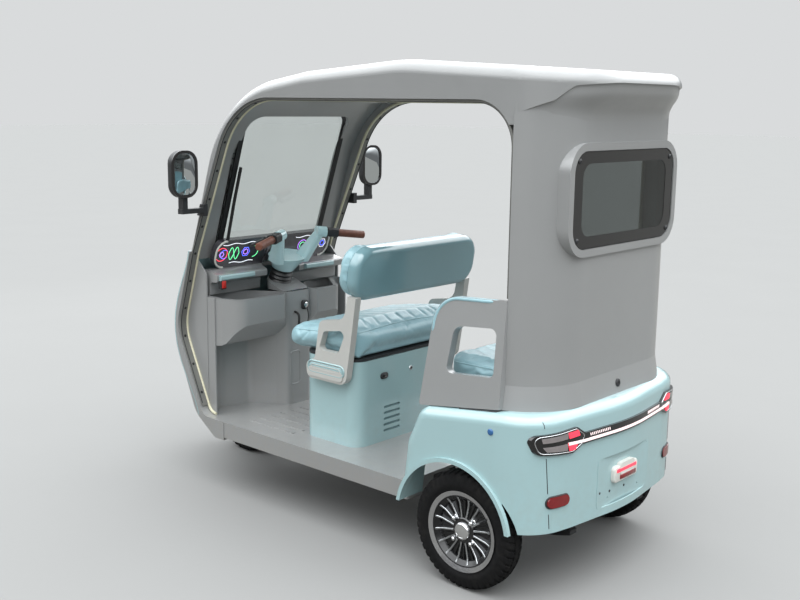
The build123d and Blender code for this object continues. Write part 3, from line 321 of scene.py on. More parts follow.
skin = leather()
grip_look = grip_rubber()
tyre_look = tyre_rubber()
gaiter_look = gaiter_rubber()
shell_look = plain("blue_shell", (126, 163, 171), 0.14, 0.03, 4.0, grain=(1500, 0.05, 0.0001), Coat_Weight=0.8,
                   Coat_Roughness=0.06)
screen_face = plain("screen_face", (62, 60, 66), 0.12, 0.2, 30.0, Coat_Weight=1.0)
mirror_glass = plain("mirror_glass", (205, 210, 212), 0.02, 0.01, 20.0, metal=1.0)

node_looks = {
    grey: "roof screen_frame rear_shell floor_deck leg_shield shield_pockets dash_shelf column_cap side_panels "
          "bench_base",
    light_grey: "seat_frames",
    # The door surrounds take the darker grey, which paints the shade on the jambs
    shaded_jamb_grey: "door_surrounds",
    dark: "seat_lid battery_pack switch_blocks mirrors",
    clear_glass: "windscreen",
    smoke_glass: "rear_window",
    blue: "rear_fenders rear_bumper front_fairing front_mudguard seat_box dash_strips",
    # The yoke takes the lighter copy of the blue paint, which paints light on it
    yoke_blue_painted_light: "steering_yoke",
    screen_face: "dash_unit",
    gaiter_look: "steering_gaiter",
    chrome: "handlebar",
    grip_look: "grips",
    dark_steel: "front_fork chassis_frame rear_axle rear_springs",
    skin: "seat_cushion backrest_cushion bench_cushion bench_backrest arm_pads",
    shell_look: "backrest_shell",
    black_gloss: "tail_lamps",
    white: "plate_lamp",
    lamp_clear: "headlamps",
    red_lens: "reflectors",
    tyre_look: "tyre_front tyre_left tyre_right",
}
for look_mat, names in node_looks.items():
    for node_name in names.split():
        for node_slot in nodes[node_name].material_slots:
            node_slot.material = look_mat

TYRE_RADIUS = 206
WHEEL_Z = TYRE_RADIUS * MM
FRONT_Y = -0.885
REAR_Y = 0.765
WHEEL_X = 0.441
# Wheel: node ending, body, x, y, side that its face looks to
wheels = (
    ("front", "front_wheel", 0.0, FRONT_Y, 1),
    ("left", "rear_wheel_left", WHEEL_X, REAR_Y, 1),
    ("right", "rear_wheel_right", -WHEEL_X, REAR_Y, -1),
)
for ending, body, x, y, side in wheels:
    for node_slot in nodes["rim_" + ending].material_slots:
        node_slot.material = rim_paint("rim_" + ending + "_look", x, y, WHEEL_Z, side)


# Mesh tools
def piece(name, verts, faces, mat, body, slot=None, smooth=35):
    """A mesh object in the row frame that rides on a body."""
    mesh = bpy.data.meshes.new(name)
    mesh.from_pydata([tuple(v) for v in verts], [], faces)
    mesh.update()
    bm = bmesh.new()
    bm.from_mesh(mesh)
    bmesh.ops.recalc_face_normals(bm, faces=bm.faces)
    bm.to_mesh(mesh)
    bm.free()
    return dress(name, mesh, mat, body, slot, smooth)


def dress(name, mesh, mat, body, slot=None, smooth=35):
    obj = bpy.data.objects.new(name, mesh)
    scene.collection.objects.link(obj)
    mesh.materials.clear()
    mesh.materials.append(mat)
    mesh.shade_smooth()
    mesh.set_sharp_from_angle(angle=math.radians(smooth))
    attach(obj, body)
    return obj


def bands(rows, count, base=0, looped=False, turns=True):
    """Quads between rows of points, all the way round a row if it turns, and round the rows if they are looped."""
    quads = []
    for i in range(rows if looped else rows - 1):
        low, high = base + i * count, base + (i + 1) % rows * count
        for k in range(count if turns else count - 1):
            n = (k + 1) % count
            quads.append((low + k, low + n, high + n, high + k))
    return quads


def ends(rows, count, base=0):
    """The faces that close the first and the last row."""
    return [[base + k for k in reversed(range(count))], [base + (rows - 1) * count + k for k in range(count)]]


def rounded(points, closed=True, step=8.0):
    """Points along an outline whose corners (a, b, radius) are filleted."""
    count = len(points)
    out = []
    for i in range(count):
        a, b, r = points[i]
        here = Vector((a, b))
        if r <= 0 or (not closed and i in (0, count - 1)):
            out.append(here)
            continue
        before = (Vector(points[i - 1][:2]) - here).normalized()
        after = (Vector(points[(i + 1) % count][:2]) - here).normalized()
        angle = before.angle(after)
        reach = r / math.tan(angle / 2)
        start = here + before * reach
        end = here + after * reach
        centre = here + (before + after).normalized() * (r / math.sin(angle / 2))
        v0, v1 = start - centre, end - centre
        sweep = v0.angle(v1)
        turn = 1 if v0.cross(v1) > 0 else -1
        parts = max(2, int(r * sweep / step))
        for k in range(parts + 1):
            t = turn * sweep * k / parts
            c, s = math.cos(t), math.sin(t)
            out.append(centre + Vector((v0.x * c - v0.y * s, v0.x * s + v0.y * c)))
    return out


def evenly(points, step, closed=True):
    """Points spaced along a polyline of 2-D or 3-D points."""
    line = list(points) + ([points[0]] if closed else [])
    lengths = [0.0]
    for p, q in zip(line, line[1:]):
        lengths.append(lengths[-1] + (q - p).length)
    total = lengths[-1]
    count = max(2, round(total / step))
    out = []
    k = 0
    for i in range(count + (0 if closed else 1)):
        d = total * i / count
        while k < len(lengths) - 2 and lengths[k + 1] < d:
            k += 1
        t = (d - lengths[k]) / max(1e-9, lengths[k + 1] - lengths[k])
        out.append(line[k].lerp(line[k + 1], t))
    return out


def shape_now(obj):
    """Mesh of an object as its modifiers leave it."""
    return bpy.data.meshes.new_from_object(obj.evaluated_get(bpy.context.evaluated_depsgraph_get()))


def inward(points, distance=0):
    """An open line moved to its right by a distance, with the direction square to it at each point."""
    out = []
    for i, p in enumerate(points):
        d = (points[min(i + 1, len(points) - 1)] - points[max(i - 1, 0)]).normalized()
        normal = Vector((d.y, -d.x))
        out.append((p + normal * distance, normal))
    return out


def tube(name, points, radius, mat, body, slot=None, closed=False, res=5, smooth_line=False):
    """A round bar along points in metres."""
    data = bpy.data.curves.new(name, "CURVE")
    data.dimensions = "3D"
    data.bevel_depth = radius
    data.bevel_resolution = res
    data.use_fill_caps = True
    spline = data.splines.new("NURBS" if smooth_line else "POLY")
    spline.points.add(len(points) - 1)
    for item, point in zip(spline.points, points):
        item.co = (*point, 1)
    spline.use_cyclic_u = closed
    if smooth_line:
        spline.order_u = 3
        spline.use_endpoint_u = not closed
    data.materials.append(mat)
    obj = bpy.data.objects.new(name, data)
    scene.collection.objects.link(obj)
    mesh = shape_now(obj)
    mesh.name = name
    bpy.data.objects.remove(obj)
    return dress(name, mesh, mat, body, slot, 50)


def facing(point, normal, x_hint=(1, 0, 0)):
    """Placement whose local z runs along a normal."""
    z = Vector(normal).normalized()
    x = Vector(x_hint) - z * z.dot(Vector(x_hint))
    if x.length < 1e-4:
        x = Vector((0, 1, 0)) - z * z.y
    x.normalize()
    y = z.cross(x)
    return Matrix.Translation(Vector(point)) @ Matrix((x, y, z)).transposed().to_4x4()


def lathe(profile, sides=24, places=(Matrix(),)):
    """Verts and faces of a profile (radius, height) turned round local z, at each place."""
    verts, faces = [], []
    for place in places:
        base = len(verts)
        for r, h in profile:
            for k in range(sides):
                a = 2 * math.pi * k / sides
                verts.append(place @ Vector((r * math.cos(a), r * math.sin(a), h)))
        faces += bands(len(profile), sides, base) + ends(len(profile), sides, base)
    return verts, faces


def turned(name, profile, places, mat, body, slot=None, sides=24):
    verts, faces = lathe(profile, sides, places)
    return piece(name, verts, faces, mat, body, slot)


def slab(name, loop, place, low, high, mat, body, slot=None, bevel=0.001):
    """A plate of a closed 2-D loop in metres, with a bevelled top edge, from low to high along local z."""
    pts = [Vector(p) for p in loop]
    count = len(pts)
    verts, normals = [], []
    for i in range(count):
        d = (pts[(i + 1) % count] - pts[i - 1]).normalized()
        normals.append(Vector((d.y, -d.x)))
    area = sum(pts[i - 1].cross(pts[i]) for i in range(count))
    sign = 1 if area > 0 else -1
    rings = [(0.0, low), (0.0, high - bevel), (bevel * 0.35, high - bevel * 0.35), (bevel, high)]
    for inset, height in rings:
        for p, n in zip(pts, normals):
            q = p - n * inset * sign
            verts.append(place @ Vector((q.x, q.y, height)))
    faces = bands(len(rings), count) + ends(len(rings), count)
    return piece(name, verts, faces, mat, body, slot)


def ring_plate(name, outer, inner, place, low, high, mat, slot, step=0.012, fine=0.003):
    """A flat ring on the cabin between two loops, the outer one in even steps."""
    wide = evenly(outer, step)
    close = evenly(inner, fine)
    near = [min(close, key=lambda q: (q - p).length) for p in wide]
    verts = []
    for loop, height in ((wide, low), (wide, high), (near, high), (near, low)):
        verts += [place @ Vector((p[0], p[1], height)) for p in loop]
    return piece(name, verts, bands(4, len(wide), looped=True), mat, "cabin", slot)


def round_rect(width, height, radius, shift=(0, 0)):
    """Loop of a rounded rectangle, sizes in mm, as points in metres."""
    w, h = width / 2, height / 2
    corners = [(w, h, radius), (-w, h, radius), (-w, -h, radius), (w, -h, radius)]
    return [Vector(((p.x + shift[0]) * MM, (p.y + shift[1]) * MM)) for p in rounded(corners, step=6.0)]


def bvh(*names):
    verts, polys = [], []
    for n in names:
        obj = nodes[n] if n in nodes else bpy.data.objects[n]
        base = len(verts)
        verts += [v.co.copy() for v in obj.data.vertices]
        polys += [[base + i for i in p.vertices] for p in obj.data.polygons]
    return BVHTree.FromPolygons(verts, polys)


def draped(name, tree, half, low, high, lift, mat, slot):
    """A thin band on the body's rear out to a half width, between two heights in mm, lifted off the surface."""
    count, rows = int(2 * half / 8), 2
    way = Vector((0, -1, 0))
    top, foot = [], []
    for i in range(count + 1):
        x = -half + 2 * half * i / count
        for k in range(rows + 1):
            z = low + (high - low) * k / rows
            place, normal = tree.ray_cast(Vector((x * MM, 2, z * MM)), way)[:2]
            if normal.dot(way) > 0:
                normal = -normal
            top.append(place + normal * lift)
            foot.append(place - normal * 0.0006)
    size = len(top)
    n, m = count + 1, rows + 1
    faces = []
    for i in range(n - 1):
        for k in range(m - 1):
            a, b, c, d = i * m + k, (i + 1) * m + k, (i + 1) * m + k + 1, i * m + k + 1
            faces += [(a, b, c, d), (size + d, size + c, size + b, size + a)]
    rim = [i * m for i in range(n)] + [(n - 1) * m + k for k in range(1, m)]
    rim += [i * m + m - 1 for i in range(n - 2, -1, -1)] + [k for k in range(m - 2, 0, -1)]
    for p, q in zip(rim, rim[1:] + rim[:1]):
        faces.append((p, size + p, size + q, q))
    return piece(name, top + foot, faces, mat, "cabin", slot, 30)


# Light and stage
def area(name, place, target, width, height, power):
    data = bpy.data.lights.new(name, "AREA")
    data.shape = "RECTANGLE"
    data.size, data.size_y = width, height
    data.energy = power
    obj = bpy.data.objects.new(name, data)
    obj.location = place
    obj.rotation_euler = (Vector(target) - Vector(place)).to_track_quat("-Z", "Y").to_euler()
    scene.collection.objects.link(obj)


sky = bpy.data.lights.new("sky", "SUN")
sky.energy = 1.95
sky.angle = math.radians(70)
sky.color = (0.965, 0.985, 1.0)
sky_lamp = bpy.data.objects.new("sky", sky)
sky_lamp.rotation_euler = (math.radians(-14), math.radians(12), 0)
scene.collection.objects.link(sky_lamp)
area("side_fill", (5.0, 2.4, 2.2), (0, 0.1, 0.9), 3.0, 3.0, 9)
area("front_fill", (-2.0, -5.0, 2.8), (0, 0, 0.9), 3.5, 2.5, 16)

# A dome of light, bright overhead and dim towards the horizon; the camera sees a plain pale backdrop
world = bpy.data.worlds.new("world")
scene.world = world
world.use_nodes = True
wt = world.node_tree
dome = wt.nodes["Background"]
dome.inputs[0].default_value = (0.95, 0.98, 1.0, 1)
seen = wt.nodes.new("ShaderNodeBackground")
seen.inputs[0].default_value = linear(217, 219, 220)
way = wt.nodes.new("ShaderNodeTexCoord")
split = wt.nodes.new("ShaderNodeSeparateXYZ")


def sky_level(low, high, dim, bright):
    """Strength of the dome that rises from one height to another."""
    made = put(wt.nodes.new("ShaderNodeMapRange"), From_Min=low, From_Max=high, To_Min=dim, To_Max=bright)
    made.interpolation_type = "SMOOTHSTEP"
    wt.links.new(split.outputs[2], made.inputs["Value"])
    return made.outputs["Result"]


wt.links.new(way.outputs["Generated"], split.inputs[0])
path = wt.nodes.new("ShaderNodeLightPath")
strength = wt.nodes.new("ShaderNodeMix")
straight = wt.nodes.new("ShaderNodeMath")
straight.operation = "MAXIMUM"
blend_world = wt.nodes.new("ShaderNodeMixShader")
for source, socket in (
    (path.outputs["Is Glossy Ray"], strength.inputs[0]),
    (sky_level(-0.05, 0.8, 0.17, 2.4), strength.inputs[2]),
    (sky_level(0.08, 0.5, 0.2, 4.2), strength.inputs[3]),
    (strength.outputs[0], dome.inputs[1]),
    (path.outputs["Is Camera Ray"], straight.inputs[0]),
    (path.outputs["Is Transmission Ray"], straight.inputs[1]),
    (straight.outputs[0], blend_world.inputs[0]),
    (dome.outputs[0], blend_world.inputs[1]),
    (seen.outputs[0], blend_world.inputs[2]),
    (blend_world.outputs[0], wt.nodes["World Output"].inputs[0]),
):
    wt.links.new(source, socket)


def floor_paint():
    """Pale floor that throws less light back than it shows to the camera."""
    look = Look("floor_look")
    base = linear(144, 144, 143)
    shown = look.ramp(look.noise(1.5, 4.0), [(0.3, shaded(base, 0.985)), (0.7, base)])
    rays = look.node("ShaderNodeLightPath")
    direct = look.math("MAXIMUM", rays.outputs["Is Camera Ray"], rays.outputs["Is Transmission Ray"])
    look.colour(look.mix(direct, linear(118, 117, 114), shown))
    look.uneven(8.0, 0.8, 0.9)
    look.set(Specular_IOR_Level=0.0)
    return look.mat


floor_mesh = bpy.data.meshes.new("floor")
floor_mesh.from_pydata([(-60, -60, 0), (60, -60, 0), (60, 60, 0), (-60, 60, 0)], [], [(0, 1, 2, 3)])
floor = bpy.data.objects.new("floor", floor_mesh)
scene.collection.objects.link(floor)
floor_mesh.materials.append(floor_paint())


# Padded pieces
CLOTH_FRAMES = 14
PRESSURE = 4.0
SWELL = 0.004


def coordinates(mesh):
    flat = np.empty(len(mesh.vertices) * 3)
    mesh.vertices.foreach_get("co", flat)
    return flat.reshape(-1, 3)


def padded(node, name, body, fill, voxel, cap, shrink, groove, flat_side):
    """A cushion grown from a CAD solid by cloth pressure, its channels pressed in afterwards."""
    source = nodes[node].data
    bm = bmesh.new()
    bm.from_mesh(source)
    bmesh.ops.remove_doubles(bm, verts=bm.verts, dist=1e-5)
    mesh = bpy.data.meshes.new(name)
    bm.to_mesh(mesh)
    bm.free()
    obj = bpy.data.objects.new(name, mesh)
    scene.collection.objects.link(obj)
    remesh = obj.modifiers.new("remesh", "REMESH")
    remesh.mode = "VOXEL"
    remesh.voxel_size = voxel
    fine = shape_now(obj)
    obj.modifiers.clear()
    obj.data = fine
    rest = coordinates(fine)
    low, high = rest.min(0), rest.max(0)
    normal = np.array([v.normal for v in fine.vertices])
    start = rest - normal * shrink
    fine.vertices.foreach_set("co", start.ravel())
    moved = start
    cloth = obj.modifiers.new("cloth", "CLOTH")
    fabric = {
        "use_pressure": True, "uniform_pressure_force": PRESSURE, "quality": 5, "mass": 0.3,
        "tension_stiffness": 12, "compression_stiffness": 12, "shear_stiffness": 6, "bending_stiffness": 0.5,
    }
    for key, value in fabric.items():
        setattr(cloth.settings, key, value)
    cloth.settings.effector_weights.gravity = 0
    cloth.point_cache.frame_start = 1
    cloth.point_cache.frame_end = CLOTH_FRAMES
    for number in range(1, CLOTH_FRAMES + 1):
        scene.frame_set(number)
    moved = coordinates(shape_now(obj))
    obj.modifiers.clear()
    scene.frame_set(1)
    step = moved - start
    size = np.linalg.norm(step, axis=1, keepdims=True)
    moved = start + step * np.minimum(1.0, cap / np.maximum(size, 1e-9))
    moved = np.clip(moved, low - SWELL, high + SWELL)
    axis, end = flat_side
    if end == "low":
        moved[:, axis] = np.maximum(moved[:, axis], low[axis])
    else:
        moved[:, axis] = np.minimum(moved[:, axis], high[axis])
    fine.vertices.foreach_set("co", moved.ravel())
    fine.update()
    normal = np.array([v.normal for v in fine.vertices])
    depth = groove(moved, normal, low, high)
    fine.vertices.foreach_set("co", (moved - normal * depth[:, None]).ravel())
    fine.update()
    smooth = obj.modifiers.new("subdivision", "SUBSURF")
    smooth.levels = 1
    smooth.render_levels = 1
    final = shape_now(obj)
    obj.modifiers.clear()
    bpy.data.objects.remove(obj)
    final.name = name
    made = dress(name, final, skin, body, "blue_leather", 180)
    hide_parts(node)
    return made


def sewn(value, width, depth):
    """Depth of a sewn line at a distance from its middle."""
    return depth * np.exp(-(value / width) ** 2)


def fan(pitch, spread, seam):
    """Channels that run front to back and spread towards the rear, inside a seam round the top."""
    def groove(p, n, low, high):
        t = (p[:, 1] - low[1]) / (high[1] - low[1])
        lane = p[:, 0] / (1 + spread * t) / pitch
        off = np.abs(lane - np.round(lane)) * pitch * (1 + spread * t)
        face = np.clip((n[:, 2] - 0.55) / 0.25, 0, 1)
        side = np.minimum(p[:, 0] - low[0], high[0] - p[:, 0])
        end = np.minimum(p[:, 1] - low[1], high[1] - p[:, 1])
        inside = np.clip((np.minimum(side, end) - seam) / 0.012, 0, 1)
        return sewn(off, 0.0055, 0.0045) * face * inside
    return groove


def upright_groove(p, n, low, high):
    """Upright channels on a backrest's front face, inside a seam near its edge."""
    pitch = 0.076
    lane = p[:, 0] / pitch
    off = np.abs(lane - np.round(lane)) * pitch
    face = np.clip((-n[:, 1] - 0.3) / 0.3, 0, 1)
    side = np.minimum(p[:, 0] - low[0], high[0] - p[:, 0])
    return sewn(off, 0.0055, 0.0045) * face * np.clip((side - 0.03) / 0.012, 0, 1)


# Cushions: CAD node, name, body, fill, voxel, furthest growth, shrink at the start, channels, flat side
cushions = (
    ("seat_cushion", "seat_pad", "seat_hatch", 0.85, 0.007, 0.010, 0.004, fan(0.042, 0.75, 0.03), (2, "low")),
    ("backrest_cushion", "back_pad", "cabin", 0.85, 0.007, 0.009, 0.004, upright_groove, (1, "high")),
    ("bench_cushion", "bench_pad", "cabin", 0.85, 0.008, 0.010, 0.005, fan(0.05, 0.8, 0.04), (2, "low")),
    ("bench_backrest", "bench_back_pad", "cabin", 0.85, 0.008, 0.010, 0.004, upright_groove, (1, "high")),
)
pads = {values[1]: padded(*values) for values in cushions}
BELT_STEPS = 96


def belt(name, obj, height, body):
    """A thin cord sewn round a pad at a height that may change with y."""
    spots = [v.co for v in obj.data.vertices]
    low, high = (Vector((pick(p.x for p in spots), pick(p.y for p in spots), 0)) for pick in (min, max))
    centre = (low + high) / 2
    tree = bvh(obj.name)
    pts = []
    for k in range(BELT_STEPS):
        a = 2 * math.pi * k / BELT_STEPS
        way = Vector((math.cos(a) * (high.x - centre.x), math.sin(a) * (high.y - centre.y), 0)).normalized()
        y_guess = centre.y + math.sin(a) * (high.y - centre.y)
        origin = Vector((centre.x, centre.y, height(y_guess))) + way * 1.0
        hit = tree.ray_cast(origin, -way)
        if hit[0] is not None:
            pts.append(hit[0])
    tube(name, pts, 0.0022, skin, body, "blue_leather", closed=True, res=3, smooth_line=True)


belt("seat_welt", pads["seat_pad"], lambda y: 0.738 + 0.11 * (y + 0.09), "seat_hatch")
belt("bench_welt", pads["bench_pad"], lambda y: 0.755, "cabin")


# Arm pads and their trim
PANEL_TOP_X, PANEL_FOOT_X, PANEL_HEIGHT, PANEL_BASE_Z = 437, 470, 400, 1008
lean = math.atan((PANEL_FOOT_X - PANEL_TOP_X) / PANEL_HEIGHT)
panel_edge = [(895, -2, 0), (606, -18, 110), (560, -403, 10), (560, -404, 0)]


def on_panel(y, h, out, side):
    """A point of the side panel from y, height on the panel and distance outward, in mm."""
    z = PANEL_BASE_Z + h * math.cos(lean) + out * math.sin(lean)
    x = PANEL_TOP_X - h * math.sin(lean) + out * math.cos(lean)
    return Vector((side * x, y, z)) * MM


def strip(name, path, section, body, mat, slot, side, taper=6):
    """A strip along the panel's edge: path of (y, h), section of (out, in-plane) offsets, closed ends."""
    verts = []
    middle = -16
    for i, (p, normal) in enumerate(inward(path)):
        end = min(i, len(path) - 1 - i)
        scale = math.sqrt(max(0.0, 1 - ((taper - end) / taper) ** 2)) if end < taper else 1.0
        scale = max(scale, 0.12)
        for out, away in section:
            q = p + normal * (away * (0.35 + 0.65 * scale))
            verts.append(on_panel(q.x, q.y, middle + out * (0.5 + 0.5 * scale), side))
    faces = bands(len(path), len(section)) + ends(len(path), len(section))
    return piece(name, verts, faces, mat, body, slot, 60)


edge_line = evenly(rounded(panel_edge, closed=False, step=4), 5.0, closed=False)
pad_line = [p for p in edge_line if p.x < 850 and p.y > -150]
trim_line = [p for p in edge_line if p.y <= -146]
end_line = [p for p in edge_line if p.x >= 846]
pad_section = [(18.5 * math.copysign(abs(math.cos(a)) ** 0.6, math.cos(a)),
                -(6.5 + 7.5 * math.copysign(abs(math.sin(a)) ** 0.7, math.sin(a))))
               for a in (2 * math.pi * k / 20 for k in range(20))]
bar_section = [(-14, 0), (-15, -3), (-15, -7), (-13, -9), (13, -9), (15, -7), (15, -3), (14, 0)]
for side, tag in sides:
    pad = strip("arm_pad_" + tag, pad_line, pad_section, "cabin", skin, "blue_leather", side)
    if side > 0:
        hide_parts("arm_pads")
    strip("arm_trim_" + tag, trim_line, bar_section, "cabin", blue, "blue_body", side, 1)
    strip("arm_end_" + tag, end_line, bar_section, "cabin", blue, "blue_body", side, 1)


# Wheels
tyre_section = [
    (-30, 127, 0), (-44, 159, 24), (-37, 199, 10), (-16, 206, 30), (16, 206, 30), (37, 199, 10), (44, 159, 24),
    (30, 127, 0), (22, 135, 0), (-22, 135, 0),
]
PITCHES = 46
steps_in_pitch = (0.0, 0.07, 0.30, 0.37, 0.70)


def tread_depth(a, r, s):
    """How deep the tread is cut at a distance from the middle plane, a radius and a place in the pitch."""
    across = abs(a)
    if r < 186:
        return 0.0
    if 10.5 < across < 14.5:
        return 5.0
    if s in (0.07, 0.30) and across >= 14.5:
        return 5.0 if r > 190 else 3.0
    if s == 0.70 and across <= 10.5:
        return 3.5
    return 0.0


def tyre(name, body, x, y):
    outline = rounded(tyre_section, step=5.0)
    profile = []
    for p, q in zip(outline, outline[1:] + outline[:1]):
        profile.append(p)
        if p.y > 205 and q.y > 205 and abs(p.x - q.x) > 20:
            for a in (-14.6, -14.4, -10.6, -10.4, -5, 5, 10.4, 10.6, 14.4, 14.6):
                profile.append(Vector((a, TYRE_RADIUS)))
    verts = []
    for p in profile:
        phase = 0.55 * abs(p.x) / 44 if p.y > 180 else 0.55
        for i in range(PITCHES):
            for s in steps_in_pitch:
                angle = 2 * math.pi * (i + s + phase) / PITCHES
                r = p.y - tread_depth(p.x, p.y, s)
                spot = (x * 1000 + p.x, y * 1000 + r * math.cos(angle), TYRE_RADIUS + r * math.sin(angle))
                verts.append(Vector(spot) * MM)
    faces = bands(len(profile), PITCHES * len(steps_in_pitch), looped=True)
    made = piece(name, verts, faces, tyre_look, body, "tyre", 28)
    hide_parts(name.replace("tread", "tyre"))
    return made


def spokes(name, body, x, y, side):
    """Bright spokes over the wheel's dark disc."""
    stations = ((38, 15, 27, 3.6), (60, 14, 25, 3.0), (96, 14, 25.5, 3.0), (112, 22, 31, 3.4), (125, 31, 37, 4.2))
    verts, faces = [], []
    for k in range(16):
        angle = 2 * math.pi * (k + 0.5) / 16
        out = Vector((0, math.cos(angle), math.sin(angle)))
        tangent = Vector((0, -math.sin(angle), math.cos(angle)))
        base = len(verts)
        for r, low, high, half in stations:
            edge = ((low, -half), (high - 1, -half), (high, -half + 1), (high, half - 1), (high - 1, half), (low, half))
            for h, t in edge:
                verts.append((Vector((x * 1000 + side * h, y * 1000, TYRE_RADIUS)) + out * r + tangent * t) * MM)
        first, last = ends(len(stations), 6, base)
        faces += bands(len(stations), 6, base) + [first[::-1], last]
    return piece(name, verts, faces, steel, body, "bright_steel")


# Turned fittings of a wheel: radius, height
hub_ring = [(0.045, -0.004), (0.045, 0.003), (0.042, 0.006), (0.030, 0.007)]
hub_cap = [(0.031, 0.0), (0.031, 0.012), (0.029, 0.016), (0.025, 0.0185), (0.022, 0.0185), (0.0215, 0.0175),
           (0.012, 0.0182), (0.004, 0.0185)]
nut_form = [(0.0105, 0), (0.0105, 0.006), (0.008, 0.008), (0.008, 0.018), (0.0068, 0.0225), (0.004, 0.0248),
            (0.0012, 0.0254)]
valve_form = [(0.004, 0), (0.0035, 0.016), (0.0045, 0.017), (0.0045, 0.024), (0.003, 0.026)]
VALVE_TURN = 0.6
for ending, body, x, y, side in wheels:
    tyre("tread_" + ending, body, x, y)
    spokes("spokes_" + ending, body, x, y, side)
    axle = Vector((x, y, WHEEL_Z))
    hub_place = facing(axle + Vector((side * 0.022, 0, 0)), (side, 0, 0), (0, 1, 0))
    turned("hub_ring_" + ending, hub_ring, [hub_place], black_gloss, body, "wheel_rim", 48)
    if ending != "front":
        turned("hub_cap_" + ending, hub_cap, [hub_place], chrome, body, "bright_steel", 48)
    nuts = []
    for k in range(4):
        angle = math.pi / 4 + k * math.pi / 2
        spot = axle + Vector((side * 0.014, 0.052 * math.cos(angle), 0.052 * math.sin(angle)))
        nuts.append(facing(spot, (side, 0, 0), (0, 1, 0)))
    turned("nuts_" + ending, nut_form, nuts, chrome, body, "bright_steel", 16)
    valve = axle + Vector((side * 0.022, 0.108 * math.cos(VALVE_TURN), 0.108 * math.sin(VALVE_TURN)))
    valve_way = (side, -0.4 * math.cos(VALVE_TURN), -0.4 * math.sin(VALVE_TURN))
    turned("valve_" + ending, valve_form, [facing(valve, valve_way)], rubber, body, "black_rubber", 12)


# Door edges
# Edge of the door opening: y, z, radius
door_outline = [
    (-640, 301, 0), (-676, 301, 60), (-846, 662, 190), (-740, 1000, 500), (-460, 1636, 330), (896, 1636, 150),
    (896, 1012, 0),
]
SEAL_X, LIP_X, SCREW_X = 394, 426, 413
door_line = rounded(door_outline, closed=False, step=14)


even_door = evenly(door_line, 12.0, closed=False)
screw_form = [(0.0058, -0.0005), (0.0058, 0.001), (0.0042, 0.0024), (0.002, 0.0026), (0.0018, 0.0012)]
for side, tag in sides:
    seal = [Vector((side * SEAL_X, p.x, p.y)) * MM for p, normal in inward(even_door, 6)]
    tube("door_seal_" + tag, seal, 0.006, cream, "cabin", "grey_body", res=4)
    lip = [Vector((side * LIP_X, p.x, p.y)) * MM for p, normal in inward([q for q in even_door if q.y > 345], 8.5)]
    tube("door_lip_" + tag, lip, 0.0022, dark, "cabin", "dark_trim", res=2)
    spots = []
    for p, normal in inward(evenly(door_line, 130.0, closed=False), 8.3)[1:-1]:
        if p.y > 360:
            spots.append(facing(Vector((side * SCREW_X, p.x, p.y)) * MM, (0, normal.x, normal.y), (1, 0, 0)))
    turned("surround_screws_" + tag, screw_form, spots, rubber, "cabin", "dark_trim", 14)


# Flare of the rear shell under the visor
# Levels of the flare: z, half width, rear, corner radius
flare_levels = [
    (1572, 443.2, 1044.2, 220), (1588, 443.6, 1045, 220), (1602, 443, 1050, 226), (1612, 442, 1056, 230),
    (1626, 441, 1069, 242), (1640, 439, 1086, 256), (1652, 438, 1096, 264), (1664, 437, 1102, 270),
    (1684, 436, 1106, 274), (1700, 436, 1107, 276),
]


def shell_ring(z, half, rear, corner, inset):
    """Plan of the shell at a height from its left front edge round the rear to its right one."""
    half, rear, corner = half - inset, rear - inset, corner - inset
    cx, cy = half - corner, rear - corner
    first = math.asin(max(0.0, min(1.0, (897 - cy) / corner)))
    turns = [first + (math.pi / 2 - first) * k / 24 for k in range(25)]
    left = [(cx + corner * math.cos(a), cy + corner * math.sin(a)) for a in turns]
    points = left + [(cx * (1 - k / 6), rear) for k in range(1, 6)] + [(-x, y) for x, y in reversed(left)]
    return [Vector((x, y, z)) * MM for x, y in points]


flare_rings = [shell_ring(*values, 0) for values in flare_levels]
flare_rings += [shell_ring(*values, 14) for values in reversed(flare_levels)]
flare_verts = [p for loop in flare_rings for p in loop]
across = len(flare_rings[0])
flare_faces = bands(len(flare_rings), across, looped=True, turns=False)
flare_faces.append([i * across for i in range(len(flare_rings))])
flare_faces.append([i * across + across - 1 for i in reversed(range(len(flare_rings)))])
piece("shell_flare", flare_verts, flare_faces, grey, "cabin", "grey_body", 60)


# Windscreen and rear window
SLOPE = 337 / 1001
SCREEN_LEAN = math.atan(SLOPE)
KNEE_Y, KNEE_Z = -872, 655


def screen_point(x, up_glass, out):
    """A point from x, height up the screen from the cowl and distance outward, in mm."""
    y0, z0 = KNEE_Y + (1000 - KNEE_Z) * SLOPE, 1000
    y = y0 + up_glass * math.sin(SCREEN_LEAN) - out * math.cos(SCREEN_LEAN)
    z = z0 + up_glass * math.cos(SCREEN_LEAN) + out * math.sin(SCREEN_LEAN)
    return Vector((x, y, z)) * MM


screen_normal = Vector((0, -math.cos(SCREEN_LEAN), math.sin(SCREEN_LEAN)))
screen_height = 594 / math.cos(SCREEN_LEAN)
glass_place = facing(screen_point(0, screen_height / 2, -19), screen_normal)
ring_plate("screen_gasket", round_rect(606, screen_height + 8, 56), round_rect(556, screen_height - 42, 40),
           glass_place, -0.007, -0.001, rubber, "black_rubber", fine=0.004)

window_place = facing((0, 1.0491, 1.325), (0, 1, 0), (-1, 0, 0))
for name, low, high in (("window_border", 0.0001, 0.0007), ("window_border_in", -0.0058, -0.0052)):
    ring_plate(name, round_rect(636, 306, 68), round_rect(536, 232, 46), window_place, low, high, black_gloss,
               "tinted_glass")
bolt_profile = [(0.009, 0), (0.009, 0.002), (0.006, 0.0045), (0.003, 0.005), (0.0028, 0.0035), (0.001, 0.0035)]
window_bolts = [facing((sx * 0.291, 1.0494, z), (0, 1, 0)) for sx in (1, -1) for z in (1.450, 1.199)]
turned("window_bolts", bolt_profile, window_bolts, dark, "cabin", "dark_trim", 18)

